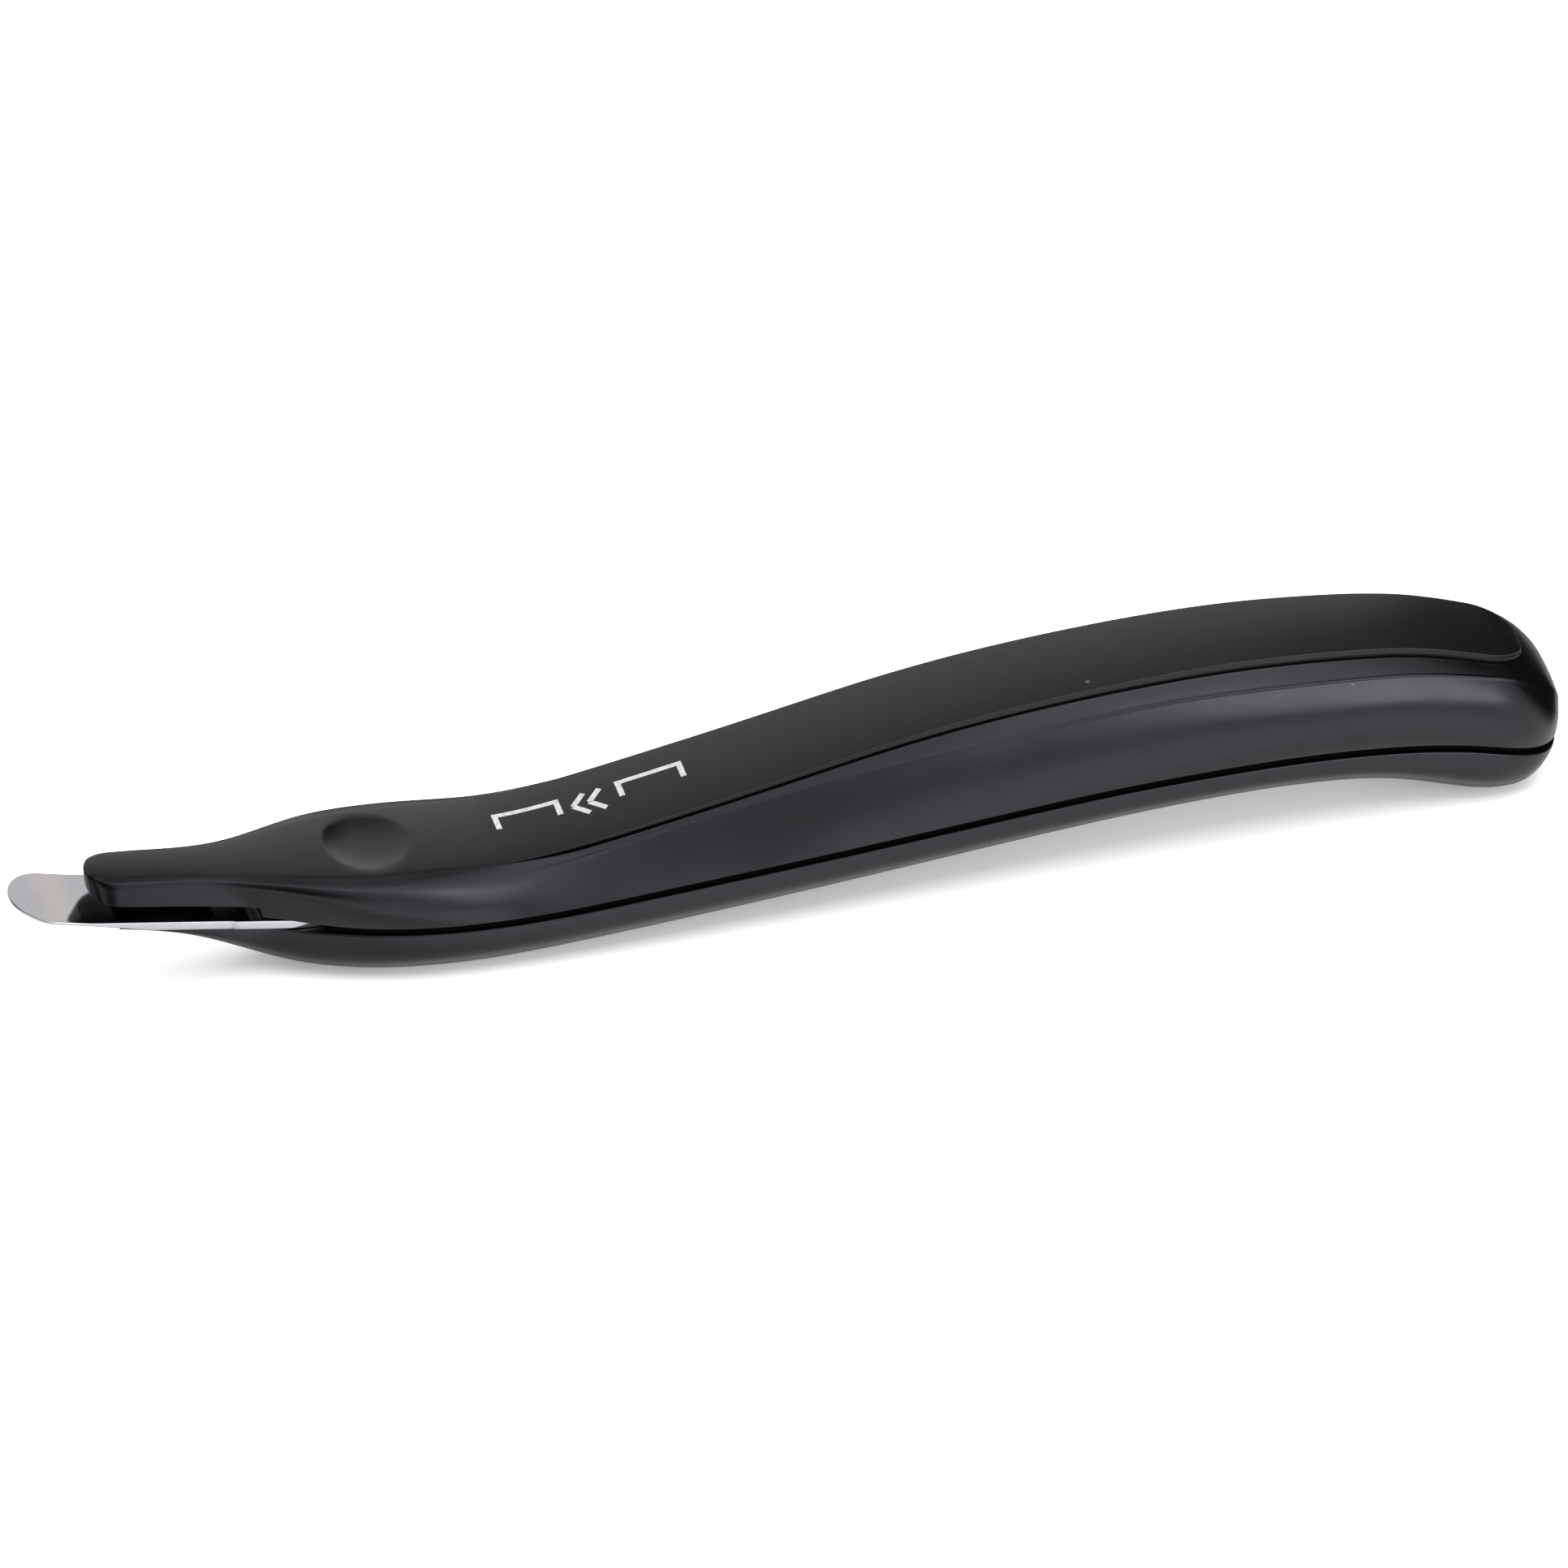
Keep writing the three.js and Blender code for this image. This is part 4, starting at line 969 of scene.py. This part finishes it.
class Paint(Nodes):
    """One procedural material, built round a Principled shader."""

    def __init__(self, name, **settings):
        self.material = bpy.data.materials.new(name)
        self.material.use_nodes = True
        super().__init__(self.material.node_tree)
        self.shader = self.tree.nodes["Principled BSDF"]
        for socket, value in settings.items():
            self.shader.inputs[socket.replace("_", " ")].default_value = value
        self.place = self.node("ShaderNodeTexCoord").outputs["Object"]

    def noise(self, size, detail, stretch=(1, 1, 1)):
        """Noise with features about size metres across."""
        mapping = self.node("ShaderNodeMapping")
        mapping.inputs["Scale"].default_value = stretch
        self.link(self.place, mapping.inputs["Vector"])
        texture = self.node("ShaderNodeTexNoise")
        texture.inputs["Scale"].default_value = 1 / size
        texture.inputs["Detail"].default_value = detail
        self.link(mapping.outputs["Vector"], texture.inputs["Vector"])
        return texture.outputs["Fac"]

    def math(self, operation, a, b):
        made = self.node("ShaderNodeMath", operation=operation)
        for socket, value in zip(made.inputs, (a, b)):
            if isinstance(value, (int, float)):
                socket.default_value = value
            else:
                self.link(value, socket)
        return made.outputs["Value"]

    def mix(self, factor, a, b):
        made = self.node("ShaderNodeMix", data_type="RGBA")
        self.link(factor, made.inputs[0])
        for socket, value in ((made.inputs[6], a), (made.inputs[7], b)):
            if isinstance(value, tuple):
                socket.default_value = (*value, 1)
            else:
                self.link(value, socket)
        return made.outputs[2]

    def along(self):
        """The place along X, in metres."""
        split = self.node("ShaderNodeSeparateXYZ")
        self.link(self.place, split.inputs["Vector"])
        return split.outputs["X"]

    def specks(self, size, share):
        """1 in small spots, one in each of a share of the cells, and 0 elsewhere."""
        cells = self.node("ShaderNodeTexVoronoi", feature="F1")
        cells.inputs["Scale"].default_value = 1 / size
        self.link(self.place, cells.inputs["Vector"])
        near = self.ranged(cells.outputs["Distance"], 0.03, 0.09, 1, 0)
        chosen = self.node("ShaderNodeSeparateColor")
        self.link(cells.outputs["Color"], chosen.inputs["Color"])
        rare = self.math("GREATER_THAN", chosen.outputs["Red"], 1 - share)
        return self.math("MULTIPLY", near, rare)

    def color(self, source):
        self.link(source, self.shader.inputs["Base Color"])

    def roughness(self, source):
        self.link(source, self.shader.inputs["Roughness"])

    def bump(self, layers):
        """Adds up bumps: each layer is (height source, height in metres)."""
        previous = None
        for height, distance in layers:
            made = self.node("ShaderNodeBump")
            made.inputs["Strength"].default_value = 1
            made.inputs["Distance"].default_value = distance
            self.link(height, made.inputs["Height"])
            if previous is not None:
                self.link(previous, made.inputs["Normal"])
            previous = made.outputs["Normal"]
        self.link(previous, self.shader.inputs["Normal"])


def moulded_plastic():
    """Moulded ABS: faint mottling, fine spark-eroded grain and a little dust, less glossy at the nose."""
    paint = Paint("shell_plastic", IOR=1.495, Specular_Tint=(*VIOLET_SHEEN, 1))
    mottled = paint.mix(paint.ranged(paint.noise(0.011, 3), 0.3, 0.7, 0, 1), SHELL_DARK, SHELL_LIGHT)
    dusty = paint.math("MULTIPLY", paint.specks(0.0032, 0.05), DUST_STRENGTH["shell"])
    paint.color(paint.mix(dusty, mottled, DUST))
    sheen = NOSE_SHEEN
    glossy = paint.ranged(paint.along(), sheen["from"], sheen["to"], sheen["nose"], sheen["body"])
    paint.link(glossy, paint.shader.inputs["Specular IOR Level"])
    paint.roughness(paint.ranged(paint.noise(0.006, 4), 0.3, 0.7, 0.24, 0.3))
    paint.bump([(paint.noise(0.012, 1), 1e-5), (paint.noise(0.00017, 2), 0.8e-6)])
    return paint


def recessed_plastic():
    """Dead black, rough plastic for the recessed joint between the shells and the magnet's cover."""
    paint = Paint("frame_plastic", Specular_IOR_Level=0.02)
    paint.color(paint.mix(paint.noise(0.003, 3), FRAME_DARK, FRAME_LIGHT))
    paint.roughness(paint.ranged(paint.noise(0.002, 3), 0.3, 0.7, 0.85, 0.98))
    paint.bump([(paint.noise(0.0002, 2), 2e-6)])
    return paint


def strip_plastic():
    """The strip: like the shell near the dimple, darker and more matt towards the tail."""
    paint = Paint("strip_plastic", IOR=1.48)
    rear = paint.ranged(paint.along(), STRIP_DARKENS["from"], STRIP_DARKENS["to"], 0, 1)
    mottled = paint.mix(paint.ranged(paint.noise(0.009, 3), 0.3, 0.7, 0, 1), SHELL_DARK, SHELL_LIGHT)
    warm = paint.mix(paint.noise(0.008, 3), STRIP_REAR_DARK, STRIP_REAR_LIGHT)
    shaded = paint.mix(rear, mottled, warm)
    paint.link(paint.mix(rear, VIOLET_SHEEN, NEUTRAL_SHEEN), paint.shader.inputs["Specular Tint"])
    dusty = paint.math("MULTIPLY", paint.specks(0.0036, 0.05), DUST_STRENGTH["strip"])
    paint.color(paint.mix(dusty, shaded, DUST))
    blotches = paint.math("MULTIPLY", paint.noise(0.005, 4), 0.08)
    paint.roughness(paint.math("ADD", paint.ranged(rear, 0, 1, 0.26, 0.36), blotches))
    paint.bump([(paint.noise(0.012, 1), 1e-5), (paint.noise(0.00017, 2), 1.4e-6)])
    return paint


def polished_steel():
    """Ground and polished steel: fine scratches along X, smudges and a painted warm reflection near the
    tip.
    """
    paint = Paint("blade_steel", Metallic=1)
    smudge = paint.ranged(paint.noise(0.004, 4), 0.35, 0.75, 0, 1)
    toned = paint.mix(smudge, STEEL, darker(STEEL, STEEL_SHARES["smudge"]))
    lines = paint.noise(0.00012, 3, (0.03, 1, 1))
    scratched = paint.ranged(lines, 0.35, 0.75, 0, 1)
    ground = paint.mix(scratched, toned, darker(STEEL, STEEL_SHARES["scratch"]))
    # paints a warm reflection into the steel's colour on the tongue, near the tip
    near_tip = paint.ranged(paint.along(), PAINTED_WARM_REFLECTION["from"], PAINTED_WARM_REFLECTION["peak"], 0, 1)
    past_tip = paint.ranged(paint.along(), PAINTED_WARM_REFLECTION["peak"], PAINTED_WARM_REFLECTION["to"], 1, 0)
    warm = paint.math("MULTIPLY", near_tip, past_tip)
    painted_reflection = paint.math("MULTIPLY", warm, PAINTED_WARM_REFLECTION["strength"])
    paint.color(paint.mix(painted_reflection, ground, WARM_REFLECTION_TINT))
    paint.roughness(paint.ranged(paint.noise(0.003, 4, (0.25, 1, 1)), 0.3, 0.75, 0.1, 0.2))
    paint.bump([(paint.noise(0.009, 1), 6e-6), (lines, 2.5e-7)])
    return paint


def plated_metal(name, tint, rough):
    """Zinc or nickel plate, faintly mottled."""
    paint = Paint(name, Metallic=1)
    paint.color(paint.mix(paint.noise(0.0009, 3), tint, darker(tint, 0.8)))
    paint.roughness(paint.ranged(paint.noise(0.0006, 3), 0.3, 0.7, *rough))
    paint.bump([(paint.noise(0.0003, 2), 1.5e-6)])
    return paint


def printed_ink():
    """Pad-printed light grey ink, a little thin and uneven."""
    paint = Paint("printed_ink")
    thin = paint.ranged(paint.noise(0.0005, 4), 0.35, 0.7, 0, 1)
    paint.color(paint.mix(thin, INK, darker(INK, 0.72)))
    paint.roughness(paint.ranged(paint.noise(0.0008, 3), 0.3, 0.7, 0.45, 0.6))
    paint.bump([(paint.noise(0.0002, 2), 2e-6)])
    return paint


def dress(piece, paint):
    """Gives a piece its material and smooth shading that breaks at sharp edges."""
    mesh = piece.data
    mesh.materials.clear()
    mesh.materials.append(paint.material)
    if not piece.get("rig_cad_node"):
        mesh.shade_smooth()
        mesh.set_sharp_from_angle(angle=math.radians(SHARP_ANGLE))


# ---------- the object ----------
shell_paint = moulded_plastic()
frame_paint = recessed_plastic()

# each fine piece with the CAD node it replaces, its material slot and its paint
fine_pieces = [
    (make_upper_shell(), "upper_shell", "shell_plastic", shell_paint),
    (make_lower_shell(), "lower_shell", "shell_plastic", shell_paint),
    (make_strip(), "top_strip", "strip_plastic", strip_plastic()),
    (make_blade(), "blade", "blade_steel", polished_steel()),
    (make_seam_frame(), "seam_frame", "frame_plastic", frame_paint),
]
for piece, node, slot, paint in fine_pieces:
    dress(piece, paint)
    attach(piece, "root")
    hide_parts(node)

marks = make_print()
dress(marks, printed_ink())
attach(marks, "root")

zinc = plated_metal("screw_zinc", ZINC, (0.28, 0.4))
nickel = plated_metal("magnet_nickel", NICKEL, (0.18, 0.3))
# the CAD nodes that are shown as they are
kept_finish = {"magnet_cover": frame_paint, "nose_magnet": nickel}
for end in ("front", "rear"):
    kept_finish[f"blade_screw_{end}"] = zinc
    kept_finish[f"case_screw_{end}"] = zinc
for node, paint in kept_finish.items():
    dress(frame["nodes"][node], paint)


# ---------- floor, light and camera ----------
def make_floor():
    """A pale paper floor with a faint glow, which keeps the shadows as light as the photo's."""
    mesh = bpy.data.meshes.new("floor")
    reach = FLOOR_REACH
    corners = [(-reach, -reach, 0), (reach, -reach, 0), (reach, reach, 0), (-reach, reach, 0)]
    mesh.from_pydata(corners, [], [(0, 1, 2, 3)])
    floor = new_object("floor", mesh)
    paint = Paint("floor_paper", Specular_IOR_Level=0.0, Emission_Strength=FLOOR_GLOW)
    paint.color(paint.mix(paint.noise(0.4, 2), FLOOR_COLOR, darker(FLOOR_COLOR, 0.99)))
    paint.roughness(paint.ranged(paint.noise(0.2, 2), 0.3, 0.7, 0.85, 0.95))
    dress(floor, paint)
    floor.visible_glossy = False


def soft_light(name, place, aim, size, radiance, seen_in_gloss):
    """A rectangular area light that is not seen itself, except perhaps in the gloss."""
    data = bpy.data.lights.new(name, "AREA")
    data.shape = "RECTANGLE"
    data.size, data.size_y = size
    data.energy = radiance * math.pi * size[0] * size[1]
    light = new_object(name, data)
    light.location = place
    light.rotation_mode = "QUATERNION"
    light.rotation_quaternion = (Vector(aim) - Vector(place)).to_track_quat("-Z", "Y")
    light.visible_camera = False
    light.visible_glossy = seen_in_gloss


def make_world():
    """A pale studio with darker sides: what the glossy plastic and the steel mirror."""
    world = bpy.data.worlds.new("studio")
    world.use_nodes = True
    studio = Nodes(world.node_tree)

    def blended(factor, level, radiance):
        """Goes from level to radiance where factor is 1."""
        blend = studio.node("ShaderNodeMix", data_type="FLOAT")
        studio.link(factor, blend.inputs[0])
        studio.link(level, blend.inputs[2])
        blend.inputs[3].default_value = radiance
        return blend.outputs[0]

    heading = studio.node("ShaderNodeTexCoord").outputs["Generated"]
    split = studio.node("ShaderNodeSeparateXYZ")
    studio.link(heading, split.inputs["Vector"])
    level = studio.ranged(split.outputs["Z"], -0.1, 0.1, STUDIO_BOTTOM, STUDIO_TOP)
    for *angles, radiance in STUDIO_PATCHES:
        azimuth, elevation, inner, outer = (math.radians(angle) for angle in angles)
        ahead = math.cos(elevation)
        centre = (math.cos(azimuth) * ahead, math.sin(azimuth) * ahead, math.sin(elevation))
        towards = studio.node("ShaderNodeVectorMath", operation="DOT_PRODUCT")
        towards.inputs[1].default_value = centre
        studio.link(heading, towards.inputs[0])
        inside = studio.ranged(towards.outputs["Value"], math.cos(outer), math.cos(inner), 0, 1)
        level = blended(inside, level, radiance)
    camera_ray = studio.node("ShaderNodeLightPath").outputs["Is Camera Ray"]
    background = world.node_tree.nodes["Background"]
    background.inputs["Color"].default_value = (1, 1, 1, 1)
    studio.link(blended(camera_ray, level, 1), background.inputs["Strength"])
    bpy.context.scene.world = world


def make_camera():
    """A long lens at the photo's angle."""
    azimuth, elevation = (math.radians(a) for a in CAMERA["azimuth_elevation"])
    away = math.cos(elevation)
    back = Vector((math.sin(azimuth) * away, -math.cos(azimuth) * away, math.sin(elevation)))
    up = Vector((-math.sin(azimuth) * math.sin(elevation), math.cos(azimuth) * math.sin(elevation), away))
    data = bpy.data.cameras.new("camera")
    data.sensor_width = CAMERA["sensor"]
    data.lens = CAMERA["lens"]
    data.clip_start, data.clip_end = CAMERA["clip"]
    camera = new_object("camera", data)
    right = up.cross(back)
    aim = up * CAMERA["aim_up"] + right * CAMERA["aim_right"]
    camera.location = aim + back * CAMERA["distance"]
    camera.rotation_mode = "QUATERNION"
    camera.rotation_quaternion = (-back).to_track_quat("-Z", "Y")
    bpy.context.scene.camera = camera


make_floor()
make_world()
for settings in LIGHTS:
    soft_light(**settings)
make_camera()
bpy.context.scene.view_settings.view_transform = "Standard"
